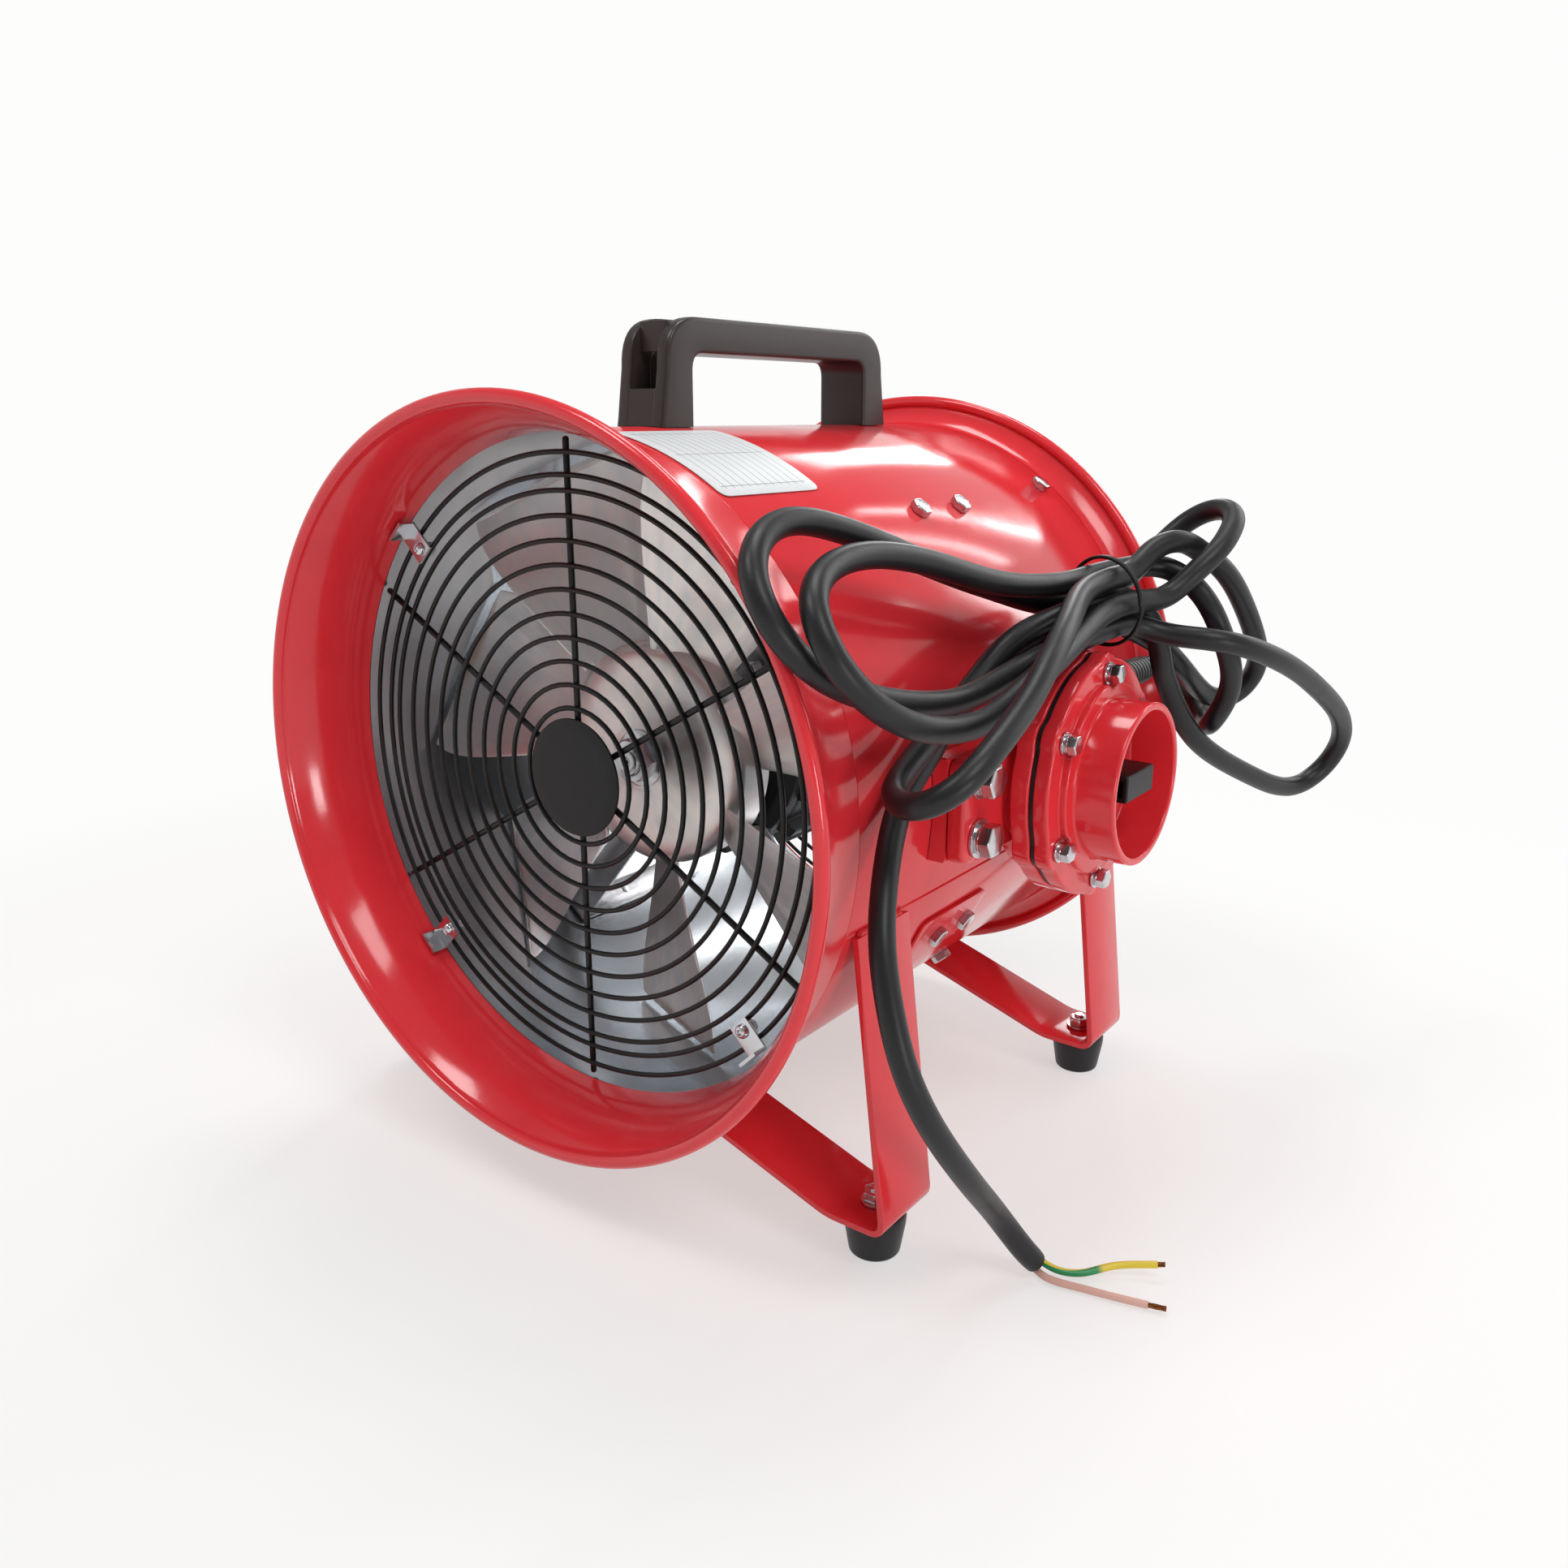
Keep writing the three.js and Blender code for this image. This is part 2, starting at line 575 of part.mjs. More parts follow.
function shaftPieces() {
  const bore = shaft.radius + gap.seat;
  const rear = motorRear + motorCap.depth;
  const nut = less(
    unite(
      rod(
        shaftNut.flange, hubFront - gap.seat - shaftNut.flangeHeight, hubFront - gap.seat, facets.small,
      ),
      rod(shaftNut.across / 2, nutFront, hubFront - gap.seat, facets.hex),
    ),
    rod(bore, nutFront - gap.overrun, hubFront + gap.overrun, facets.small),
  );
  return [
    piece(
      'motor_shaft', solid(rod(shaft.radius, nutFront - shaft.stub, rear, facets.small)),
      finishes.steel,
    ),
    piece('shaft_nut', nut, finishes.steel),
  ];
}

// Motor

const motorRear = motor.front + motor.length;
const motorMiddle = motor.front + motor.length / 2;
const boltCircle = motor.stackOuter + gap.seat + motor.wall / 2;

function rotorCorePiece() {
  const from = motorMiddle - rotorCore.length / 2;
  const body = ring(
    shaft.radius + gap.seat, motor.stackInner - rotorCore.slotGap, from, from + rotorCore.length,
    facets.small,
  );
  return piece('rotor_core', solid(body), finishes.steel);
}

function statorPieces() {
  const from = motorMiddle - rotorCore.length / 2;
  const to = from + rotorCore.length;
  const core = ring(motor.stackInner, motor.stackOuter, from, to, facets.medium);
  const coil = (place) => solid(
    ring(winding.inner, winding.outer, place, place + winding.depth, facets.small),
  );
  return [
    piece('stator_core', solid(core), finishes.steel),
    piece('stator_winding_front', coil(from - gap.seat - winding.depth), finishes.copper),
    piece('stator_winding_rear', coil(to + gap.seat), finishes.copper),
  ];
}

/** Outline of the finned shell: every fin has four corners. */
function finnedOutline() {
  const wallRadius = motor.stackOuter + gap.seat + motor.wall;
  const shape = new THREE.Shape();
  const pitch = (2 * Math.PI) / motor.fins;
  const corners = [
    [-motor.finShare, 0], [-motor.finShare / 2, motor.fin], [motor.finShare / 2, motor.fin],
    [motor.finShare, 0],
  ];
  for (let i = 0; i < motor.fins; i += 1) {
    for (const [share, height] of corners) {
      const angle = pitch * (i + share / 2);
      const [x, y] = [(wallRadius + height) * Math.cos(angle), (wallRadius + height) * Math.sin(angle)];
      if (i === 0 && share === corners[0][0]) shape.moveTo(x, y);
      else shape.lineTo(x, y);
    }
  }
  return shape;
}

/** Round rods in line with the brackets, as the cap bolts and their holes need. */
function boltRing(radius, from, to, sides = facets.shank) {
  return bracket.angles.map(
    (angle) => around(rod(radius, from, to, sides).translate(boltCircle, 0, 0), angle),
  );
}

function motorHousing() {
  const outline = new THREE.ExtrudeGeometry(
    finnedOutline(), { depth: motor.length, bevelEnabled: false },
  );
  outline.rotateX(-Math.PI / 2).translate(0, motor.front, 0);
  const bore = rod(
    motor.stackOuter + gap.seat, motor.front - gap.overrun, motorRear + gap.overrun, facets.medium,
  );
  const holeRadius = bracketBolt.radius + gap.hole;
  const front = boltRing(holeRadius, motor.front - gap.overrun, motor.front + bracketBolt.hole);
  const rear = boltRing(holeRadius, motorRear - bracketBolt.hole, motorRear + gap.overrun);
  return piece('motor_housing', less(solid(outline), bore, ...front, ...rear), finishes.darkCasting);
}

/** Profile of an end cap whose outside is at zero, with its bearing pocket open towards the rotor. */
function capProfile() {
  const outer = motor.stackOuter + gap.seat + motor.wall;
  const pocket = motorCap.bearingOuter + gap.seat;
  const bore = shaft.radius + gap.running;
  return [
    [bore, 0], [outer - motorCap.lip, 0], [outer, motorCap.lip / 2], [outer, motorCap.depth],
    [pocket, motorCap.depth], [pocket, motorCap.depth - motorCap.bearingWidth],
    [bore, motorCap.depth - motorCap.bearingWidth],
  ];
}

const capFront = motor.front - gap.seat - motorCap.depth;
const capRear = motorRear + gap.seat + motorCap.depth;

/** The front cap has holes for the bracket bolts; the rear cap carries its own bolts. */
function motorCaps() {
  const holes = boltRing(bracketBolt.radius + gap.hole, -gap.overrun, motorCap.depth + gap.overrun);
  const front = piece(
    'motor_front_cap', less(solid(turned(capProfile(), facets.medium)), ...holes), finishes.darkCasting,
  );
  front.position.y = capFront;
  const { radius, head, headHeight, depth } = bracketBolt;
  const bolts = [
    ...boltRing(radius, motorCap.depth - gap.weld, motorCap.depth + gap.seat + depth, facets.shank),
    ...boltRing(head, -headHeight, gap.weld, facets.hex),
  ];
  const rear = piece(
    'motor_rear_cap', unite(turned(capProfile(), facets.medium), ...bolts), finishes.darkCasting,
  );
  rear.rotation.z = Math.PI;
  rear.position.y = capRear;
  return [front, rear];
}

function bearings() {
  const width = motorCap.bearingWidth - gap.seat;
  const body = (from) => solid(
    ring(shaft.radius + gap.seat, motorCap.bearingOuter, from, from + width, facets.small),
  );
  return [
    piece('front_bearing', body(capFront + motorCap.depth - width), finishes.steel),
    piece('rear_bearing', body(capRear - motorCap.depth), finishes.steel),
  ];
}

/**
 * A flat bar from the motor's front cap to the barrel, its foot along the wall, and the screws that
 * hold both.
 */
function motorBrackets() {
  const half = bracket.width / 2;
  const face = capFront - gap.seat;
  const outer = Math.sqrt(barrel.clearRadius ** 2 - half ** 2);
  return bracket.angles.map((angle, index) => {
    const boltHead = rod(
      bracketBolt.head, face - bracket.sheet - bracketBolt.headHeight, face - gap.weld, facets.hex,
    );
    const boltShank = rod(
      bracketBolt.radius, face - gap.weld, motor.front + bracketBolt.depth, facets.shank,
    );
    const body = unite(
      block(bracket.start, outer, face - bracket.sheet, face, -half, half),
      block(outer - bracket.sheet, outer, face - bracket.sheet, face + bracket.foot, -half, half),
      boltHead.translate(boltCircle, 0, 0),
      boltShank.translate(boltCircle, 0, 0),
      ...bracket.screws.flatMap(
        (along) => wallScrew(0, along, barrel.seatRadius, outer - bracket.sheet),
      ),
    );
    const mesh = piece(`motor_bracket_${index + 1}`, body, finishes.steel);
    mesh.rotation.y = -degrees(angle);
    return mesh;
  });
}

// Switch box. Its group turns local +Y to the blower's +X, so a place along Y is a distance from the
// fan axis.

const gasketFrom = box.flange + gap.seat;
const coverFrom = gasketFrom + gasket.thickness + gap.seat;
const coverFace = coverFrom + cover.flange;
const lobeCentres = Array.from({ length: coverBolt.count }, (_, i) => {
  const angle = degrees(turn.quarterAngle + (turn.fullAngle * i) / coverBolt.count);
  return [coverBolt.circle * Math.cos(angle), coverBolt.circle * Math.sin(angle)];
});

/** A round flange with a lobe at each cover bolt. */
function lobedFlange(from, to) {
  return [
    rod(box.flangeRadius, from, to, facets.medium),
    ...lobeCentres.map(([x, z]) => rod(coverBolt.lobe, from, to, facets.round).translate(x, 0, z)),
  ];
}

const flangeHoles = (from, to) => lobeCentres.map(([x, z]) => rod(
  coverBolt.radius + gap.hole, from - gap.overrun, to + gap.overrun, facets.shank,
).translate(x, 0, z));

/** The barrel's outside as a cutter, for the pieces that lie against it. */
const barrelCutter = (clearance) => rod(
  barrel.outerRadius + clearance, -ear.reach * 2, ear.reach * 2, facets.cutter,
).rotateZ(Math.PI / 2);

const saddleBoltPlaces = [-1, 1].flatMap((side) => [-1, 1].map((up) => [
  side * (ear.reach - saddleBolt.inset), (ear.low + ear.high) / 2 + up * saddleBolt.height,
]));

const saddleHoles = (from, to) => saddleBoltPlaces.map(([x, z]) => rod(
  saddleBolt.radius + gap.hole, from - gap.overrun, to + gap.overrun, facets.shank,
).translate(x, 0, z));

/** The way for the motor's wires, beside the switch mechanism and towards the rear. */
const wireHole = (from, to) => rod(box.wirePassage, from, to, facets.small).translate(
  -box.wireSide, 0, 0,
);

function switchSaddle() {
  const top = box.back - gap.seat;
  const { reach, low, high } = ear;
  const base = barrel.outerRadius - box.radius / 2;
  const pad = unite(block(-reach, reach, base, top, low, high));
  const passage = wireHole(base - gap.overrun, top + gap.overrun);
  return piece(
    'switch_box_saddle', less(pad, barrelCutter(gap.seat), passage, ...saddleHoles(base, top)),
    finishes.redEnamel,
  );
}

function switchBody() {
  const { reach, low, high, thickness } = ear;
  const towardsRear = (geometry) => geometry.rotateZ(Math.PI / 2).translate(
    0, gland.place, gland.height,
  );
  const outline = unite(
    rod(box.radius, box.back, box.flange, facets.medium),
    ...lobedFlange(box.neck, box.flange),
    block(-reach, reach, box.back, box.back + thickness, low, high),
    towardsRear(rod(gland.boss, 0, box.radius + gland.bossReach, facets.small)),
  );
  const tools = [
    rod(box.cavity, box.back + box.floor, box.flange + gap.overrun, facets.medium),
    wireHole(box.back - gap.overrun, box.flange),
    towardsRear(rod(gland.bore, 0, box.radius + gland.bossReach + gap.overrun, facets.small)),
    ...flangeHoles(box.neck, box.flange),
    ...saddleHoles(box.back, box.back + thickness),
  ];
  return piece('switch_box_body', less(outline, ...tools), finishes.redEnamel);
}

function switchGasket() {
  const to = gasketFrom + gasket.thickness;
  const sheet = unite(...lobedFlange(gasketFrom, to));
  const bore = rod(box.cavity, gasketFrom - gap.overrun, to + gap.overrun, facets.medium);
  return piece('switch_box_gasket', less(sheet, bore, ...flangeHoles(gasketFrom, to)), finishes.rubber);
}

function switchCover() {
  const collarInner = cover.collarOuter - cover.collarWall;
  const outline = unite(
    ...lobedFlange(coverFrom, coverFace),
    rod(cover.bossRadius, coverFrom, coverFace + cover.boss, facets.medium),
    rod(cover.collarOuter, coverFrom, coverFace + cover.collar, facets.medium),
  );
  const tools = [
    rod(collarInner, coverFace, coverFace + cover.collar + gap.overrun, facets.medium),
    rod(spindle.radius + gap.running, coverFrom - gap.overrun, coverFace + gap.overrun, facets.small),
    ...flangeHoles(coverFrom, coverFace + cover.boss),
    ...lobeCentres.map(([x, z]) => rod(
      coverBolt.washer + gap.running, coverFace, coverFace + cover.collar, facets.bolt,
    ).translate(x, 0, z)),
  ];
  return piece('switch_box_cover', less(outline, ...tools), finishes.redEnamel);
}

function boxBolts() {
  const bolt = (name, parts, x, y, z) => {
    const mesh = piece(name, unite(...parts), finishes.steel);
    mesh.position.set(x, y, z);
    return mesh;
  };
  const coverSeat = coverFace + gap.seat;
  const saddleSeat = box.back + ear.thickness + gap.seat;
  return [
    ...lobeCentres.map(([x, z], i) => bolt(
      `cover_bolt_${i + 1}`, screw(coverBolt, coverBolt.length, facets.hex), x, coverSeat, z,
    )),
    ...saddleBoltPlaces.map(([x, z], i) => bolt(
      `saddle_bolt_${i + 1}`, screw(saddleBolt, saddleBolt.length, facets.hex), x, saddleSeat, z,
    )),
  ];
}

/** The turning lever: a round base and a square grip with a padlock slot through it. */
function switchKnob() {
  const base = coverFace + gap.running;
  const top = base + knob.baseHeight + knob.gripHeight;
  const outline = unite(
    rod(knob.base, base, base + knob.baseHeight, facets.small),
    block(
      -knob.grip / 2, knob.grip / 2, base + knob.baseHeight / 2, top, -knob.gripWidth / 2,
      knob.gripWidth / 2,
    ),
  );
  const slotTop = top - knob.slotHeight / 2;
  const tools = [
    block(
      -knob.grip, knob.grip, slotTop - knob.slotHeight, slotTop, -knob.slotWidth / 2,
      knob.slotWidth / 2,
    ),
    rod(spindle.radius + gap.seat, base - gap.overrun, base + knob.baseHeight, facets.small),
  ];
  return piece('switch_knob', less(outline, ...tools), finishes.blackPlastic);
}

function switchInside() {
  const from = box.back + box.floor + gap.seat;
  const contacts = ring(
    spindle.radius + gap.running, mechanism.radius, from, from + mechanism.depth, facets.small,
  );
  const pin = rod(
    spindle.radius, from, coverFace + gap.running + knob.baseHeight - gap.seat, facets.small,
  );
  return [
    piece('switch_mechanism', solid(contacts), finishes.blackPlastic),
    piece('switch_spindle', solid(pin), finishes.steel),
  ];
}

/** The cable gland's nut and the tapered rubber sleeve that guards the cord, on the box's rear side. */
function glandPieces() {
  const face = box.radius + gland.bossReach + gap.seat;
  const start = face + gland.nutLength + gap.seat;
  const bore = (cord.diameter / 2 + gap.seat) / Math.cos(Math.PI / facets.small);
  const towardsRear = (geometry) => geometry.rotateZ(Math.PI / 2).translate(
    0, gland.place, gland.height,
  );
  const nut = less(
    solid(towardsRear(rod(gland.nutAcross / 2, face, face + gland.nutLength, facets.hex))),
    towardsRear(rod(bore, face - gap.overrun, start + gap.overrun, facets.small)),
  );
  const sleeve = turned([
    [bore, start], [gland.sleeve, start], [
      gland.sleeveTip, start + gland.sleeveLength,
    ], [bore, start + gland.sleeveLength],
  ], facets.small);
  return [
    piece('cable_gland_nut', nut, finishes.blackPlastic),
    piece('cord_sleeve', solid(towardsRear(sleeve)), finishes.rubber),
  ];
}

// Handle

const handleLegCentres = [handle.front + handle.leg / 2, handle.rear - handle.leg / 2];

/**
 * Side outline of the handle, in the plane of Y and height over the fan axis, moved outwards by a
 * margin.
 */
function handleOutline(margin, bottom) {
  const { front, rear, top, corner, taper } = handle;
  const shape = new THREE.Shape();
  shape.moveTo(front - margin, bottom);
  shape.lineTo(front + taper - margin, top - corner);
  shape.quadraticCurveTo(front + taper - margin, top + margin, front + corner + taper, top + margin);
  shape.lineTo(rear - corner - taper, top + margin);
  shape.quadraticCurveTo(rear - taper + margin, top + margin, rear - taper + margin, top - corner);
  shape.lineTo(rear + margin, bottom);
  shape.closePath();
  return shape;
}

/** Outline of the finger gap, grown by a margin, open towards the barrel. */
function fingerGap(margin, bottom) {
  const [from, to] = [handle.front + handle.leg - margin, handle.rear - handle.leg + margin];
  const high = handle.top - handle.bar + margin;
  const shape = new THREE.Shape();
  shape.moveTo(from, bottom);
  shape.lineTo(from, high - handle.inner);
  shape.quadraticCurveTo(from, high, from + handle.inner, high);
  shape.lineTo(to - handle.inner, high);
  shape.quadraticCurveTo(to, high, to, high - handle.inner);
  shape.lineTo(to, bottom);
  shape.closePath();
  return shape;
}

/**
 * Extrudes a side outline across the blower, centred: the outline's x becomes Y and its y becomes Z.
 */
function acrossBlower(shape, width) {
  const geometry = new THREE.ExtrudeGeometry(
    shape, { depth: width, bevelEnabled: false, curveSegments: handle.cornerSteps },
  );
  return geometry.rotateY(Math.PI / 2).rotateX(Math.PI / 2).translate(-width / 2, 0, 0);
}

/** A grip and two legs with a channel open outwards, whose web runs along the finger gap. */
function carryHandle() {
  const bottom = barrel.innerRadius;
  const solidTop = barrel.seatRadius + handle.solidFoot;
  const slotWidth = handle.width - 2 * handle.cheek;
  const band = solid(acrossBlower(handleOutline(gap.overrun, solidTop), slotWidth));
  const web = solid(
    acrossBlower(fingerGap(handle.web, solidTop - gap.overrun), slotWidth + gap.overrun),
  );
  const holes = handleLegCentres.map((along) => rod(
    handleScrew.radius + gap.hole, bottom, barrel.seatRadius + handleScrew.depth, facets.shank,
  ).rotateX(Math.PI / 2).translate(0, along, 0));
  const body = less(
    solid(acrossBlower(handleOutline(0, bottom), handle.width)),
    acrossBlower(fingerGap(0, bottom - gap.overrun), handle.width + gap.overrun),
    rod(barrel.seatRadius, 0, handle.rear + handle.leg, facets.cutter),
    ...holes,
  );
  return piece('carry_handle', body.subtract(band.subtract(web)), finishes.blackPlastic);
}

function handleScrews() {
  const length = barrel.seatRadius - barrel.clearRadius + handleScrew.depth - gap.overrun;
  return handleLegCentres.map((along, i) => {
    const mesh = piece(`handle_screw_${i + 1}`, unite(...screw(handleScrew, length)), finishes.steel);
    mesh.rotation.x = -Math.PI / 2;
    mesh.position.set(0, along, barrel.clearRadius);
    return mesh;
  });
}

// Stands

/**
 * The strap's upper and inner surface, from the top of the left leg round the barrel's underside to the
 * right one.
 */
function strapLine() {
  const { legFootHalf, flatHalf, bend, legTopHeight, arcSteps } = stand;
  const radius = barrel.seatRadius;
  const floor = stand.footHeight + stand.sheet;
  const arc = Array.from({ length: arcSteps + 1 }, (_, i) => {
    const angle = degrees(stand.meetAngle) * ((2 * i) / arcSteps - 1);
    return [radius * Math.sin(angle), axisHeight - radius * Math.cos(angle)];
  });
  const legTop = Math.sqrt(radius ** 2 - (axisHeight - legTopHeight) ** 2);
  const lean = (legFootHalf - legTop) / (legTopHeight - floor);
  const side = [
    [flatHalf, floor], [legFootHalf - bend, floor], [legFootHalf - lean * bend, floor + bend],
    [legTop, legTopHeight],
  ];
  const left = side.map(([x, z]) => [-x, z]).reverse();
  return [...left, ...arc, ...side];
}

function footPlaces(along) {
  const half = stand.legFootHalf - foot.inset;
  return [[half, along], [-half, along]];
}

/** A strap bent from one flat bar, with a hole over each foot. */
function stands() {
  const line = strapLine();
  const outline = outlineOf([...line, ...offsetLine(line, stand.sheet).reverse()]);
  const strap = new THREE.ExtrudeGeometry(outline, { depth: stand.strap, bevelEnabled: false });
  strap.rotateX(Math.PI / 2).translate(0, stand.strap, 0);
  const holes = footPlaces(stand.strap / 2).map(([x, y]) => rod(
    footStud.radius + gap.hole, stand.footHeight - gap.overrun,
    stand.footHeight + stand.sheet + gap.overrun, facets.shank,
  ).rotateX(Math.PI / 2).translate(x, y, 0));
  return stand.fronts.map((front, index) => {
    const mesh = piece(
      index === 0 ? 'front_stand' : 'rear_stand', less(solid(strap), ...holes), finishes.redEnamel,
    );
    mesh.position.y = front;
    return mesh;
  });
}

/**
 * A tapered rubber foot, hollow under its moulded-in stud, which carries the nut and washer over the
 * strap.
 */
function rubberFoot() {
  const top = stand.footHeight - gap.seat;
  const washerSeat = stand.footHeight + stand.sheet + gap.seat;
  const nutSeat = washerSeat + footStud.washerHeight;
  const studTop = nutSeat + footStud.nutHeight + footStud.tail;
  const cup = turned([
    [0, foot.recess], [foot.recessRadius, foot.recess], [foot.recessRadius, 0], [foot.bottom, 0],
    [foot.top, top - foot.socket], [foot.top, top], [0, top],
  ], facets.round);
  return unite(
    cup.rotateX(Math.PI / 2),
    rod(footStud.radius, top - gap.weld, studTop, facets.shank).rotateX(Math.PI / 2),
    rod(footStud.washer, washerSeat, nutSeat, facets.bolt).rotateX(Math.PI / 2),
    rod(
      footStud.nut, nutSeat - gap.weld, nutSeat + footStud.nutHeight, facets.hex,
    ).rotateX(Math.PI / 2),
  );
}

function feet() {
  const names = [['foot_front_right', 'foot_front_left'], ['foot_rear_right', 'foot_rear_left']];
  return stand.fronts.flatMap((front, row) => footPlaces(front + stand.strap / 2).map(([x, y], side) => {
    const mesh = piece(names[row][side], rubberFoot(), finishes.rubber);
    mesh.position.set(x, y, 0);
    return mesh;
  }));
}

// Rating label, bare

function ratingLabel() {
  const inner = barrel.outerRadius + gap.seat;
  const shape = new THREE.Shape();
  const [from, to] = [degrees(label.fromAngle), degrees(label.toAngle)];
  shape.absarc(0, 0, inner + label.thickness, from, to, false);
  shape.absarc(0, 0, inner, to, from, true);
  const sheet = new THREE.ExtrudeGeometry(
    shape, { depth: label.rear - label.front, bevelEnabled: false, curveSegments: facets.spoke },
  );
  return piece(
    'rating_label', solid(sheet.rotateX(Math.PI / 2).translate(0, label.rear, 0)), finishes.paper,
  );
}

// Power cord

const casingLength = barrel.rear + gap.seat + outlet.depth;
const vector = ([x, y, z]) => new THREE.Vector3(x, y, z);
const tieCentre = vector(tie.centre);
const tieAlong = vector(tie.along).normalize();
const tieAcross = new THREE.Vector3(tieAlong.y, -tieAlong.x, 0).normalize();
const tieUp = tieAcross.clone().cross(tieAlong);

/**
 * The two ends of a straight pass through the tie, at a slot's angle round it or, without one, in its
 * middle.
 */
function throughTie(angle, forwards) {
  const side = new THREE.Vector3();
  if (angle !== null) {
    side.addScaledVector(tieAcross, tie.spread * Math.cos(degrees(angle)));
    side.addScaledVector(tieUp, tie.spread * Math.sin(degrees(angle)));
  }
  const ends = [-tie.halfPass, tie.halfPass].map(
    (along) => tieCentre.clone().add(side).addScaledVector(tieAlong, along),
  );
  return forwards ? ends : ends.reverse();
}

/**
 * The chosen points in order, from inside the gland through seven passes of the tie to the bare end.
 */
function cordPoints() {
  const {
    innerRight, innerLeft, tallRight, outerLeft, bigRight, smallLeft, upperRight, tail,
  } = cordLists;
  const height = axisHeight + gland.height;
  const nutStart = box.along + box.radius + gland.bossReach + gap.seat;
  const sleeveEnd = nutStart + gland.nutLength + gap.seat + gland.sleeveLength;
  const start = box.along + cord.entry;
  const straight = [start, (start + sleeveEnd) / 2, sleeveEnd].map(
    (y) => new THREE.Vector3(gland.place, y, height),
  );
  return [
    ...straight, ...innerRight.map(vector), ...throughTie(
      tieSlots.upper, false,
    ), ...innerLeft.map(vector),
    ...throughTie(tieSlots.front, true), ...tallRight.map(vector), ...throughTie(tieSlots.back, false),
    ...outerLeft.map(vector), ...throughTie(tieSlots.bottom, true), ...bigRight.map(vector),
    ...throughTie(null, false), ...smallLeft.map(vector), ...throughTie(tieSlots.top, true),
    ...upperRight.map(vector), ...throughTie(tieSlots.lower, false), ...tail.map(vector),
  ];
}

/** Outer radius of the casing where a cord lying over it meets it; zero clear of its ends. */
function casingRadius(along) {
  const reach = cord.diameter;
  if (along < -reach || along > casingLength + reach) return 0;
  if (along > barrel.rear - reach) return outlet.rimRadius;
  if (along < reach) return bell.rimRadius;
  const share = Math.max(1 - along / bell.depth, 0);
  return barrel.outerRadius + (bell.rimRadius - barrel.innerRadius) * share ** bell.flarePower;
}

/** Moves each point against the change of its bend, as a stiff cord does. */
function straighten(line, moves) {
  for (let i = 2; i < line.length - 2; i += 1) {
    bendStencil.forEach((share, k) => {
      moves[i].addScaledVector(line[i + k - 2], -easing.stiffShare * share);
    });
  }
}

/** Opens a bend that is tighter than the least bend radius, and draws its two sides along. */
function openBends(line, moves) {
  const { bendSteps, bendRadius } = easing;
  for (let i = bendSteps; i < line.length - bendSteps; i += 1) {
    const [before, after] = [line[i - bendSteps], line[i + bendSteps]];
    const inwards = before.clone().add(after).multiplyScalar(1 / 2).sub(line[i]);
    const half = Math.min(before.distanceTo(after) / 2, bendRadius);
    const most = bendRadius - Math.sqrt(bendRadius ** 2 - half ** 2);
    const depth = inwards.length();
    if (depth > most) {
      inwards.multiplyScalar(easing.bendShare * (1 - most / depth));
      moves[i].add(inwards);
      moves[i - bendSteps].addScaledVector(inwards, -1 / 2);
      moves[i + bendSteps].addScaledVector(inwards, -1 / 2);
    }
  }
}

/** Pushes strands apart where they come closer than the clear distance. */
function partStrands(line, moves) {
  const clear = cord.diameter + easing.clear;
  for (let i = 0; i < line.length; i += 1) {
    for (let j = i + easing.neighbourCount + 1; j < line.length; j += 1) {
      const distance = line[i].distanceTo(line[j]);
      if (distance > 0 && distance < clear) {
        const push = line[i].clone().sub(line[j]).multiplyScalar(
          easing.partShare * (clear / distance - 1),
        );
        moves[i].add(push);
        moves[j].sub(push);
      }
    }
  }
}

/** Lifts a point off the casing, straight away from the fan axis. */
function offCasing(point) {
  const radius = Math.hypot(point.x, point.z - axisHeight);
  const need = casingRadius(point.y) + cord.diameter / 2 + easing.offCasing;
  if (need <= cord.diameter || radius >= need) return point;
  const grow = need / radius;
  return new THREE.Vector3(point.x * grow, point.y, axisHeight + (point.z - axisHeight) * grow);
}

/**
 * Lets a smooth line through the chosen points settle: even bends, strands side by side, none in the
 * casing.
 */
function settledCord() {
  const chosen = cordPoints();
  const smooth = new THREE.CatmullRomCurve3(chosen, false, 'centripetal');
  smooth.arcLengthDivisions = chosen.length * easing.fineCount;
  const home = smooth.getSpacedPoints(Math.round(smooth.getLength() / easing.spacing));
  let line = home;
  for (let round = 0; round < easing.rounds; round += 1) {
    const moves = line.map((point, i) => home[i].clone().sub(point).multiplyScalar(easing.keepShare));
    straighten(line, moves);
    openBends(line, moves);
    partStrands(line, moves);
    const last = line.length - 1 - cord.heldEndSteps;
    line = line.map(
      (point, i) => (i <= cord.heldSteps || i > last ? point : offCasing(point.clone().add(moves[i]))),
    );
  }
  return line;
}

/** A closed tube of flat sides along a smooth line through points. */
function tubeAlong(points, radius, sides, steps) {
  const path = new THREE.CatmullRomCurve3(points, false, 'centripetal');
  path.arcLengthDivisions = points.length * easing.fineCount;
  const section = new THREE.Shape(Array.from({ length: sides }, (_, i) => {
    const angle = (2 * Math.PI * i) / sides;
    return new THREE.Vector2(radius * Math.cos(angle), radius * Math.sin(angle));
  }));
  const tube = new THREE.ExtrudeGeometry(section, { steps, bevelEnabled: false, extrudePath: path });
  return { tube: solid(tube), path };
}

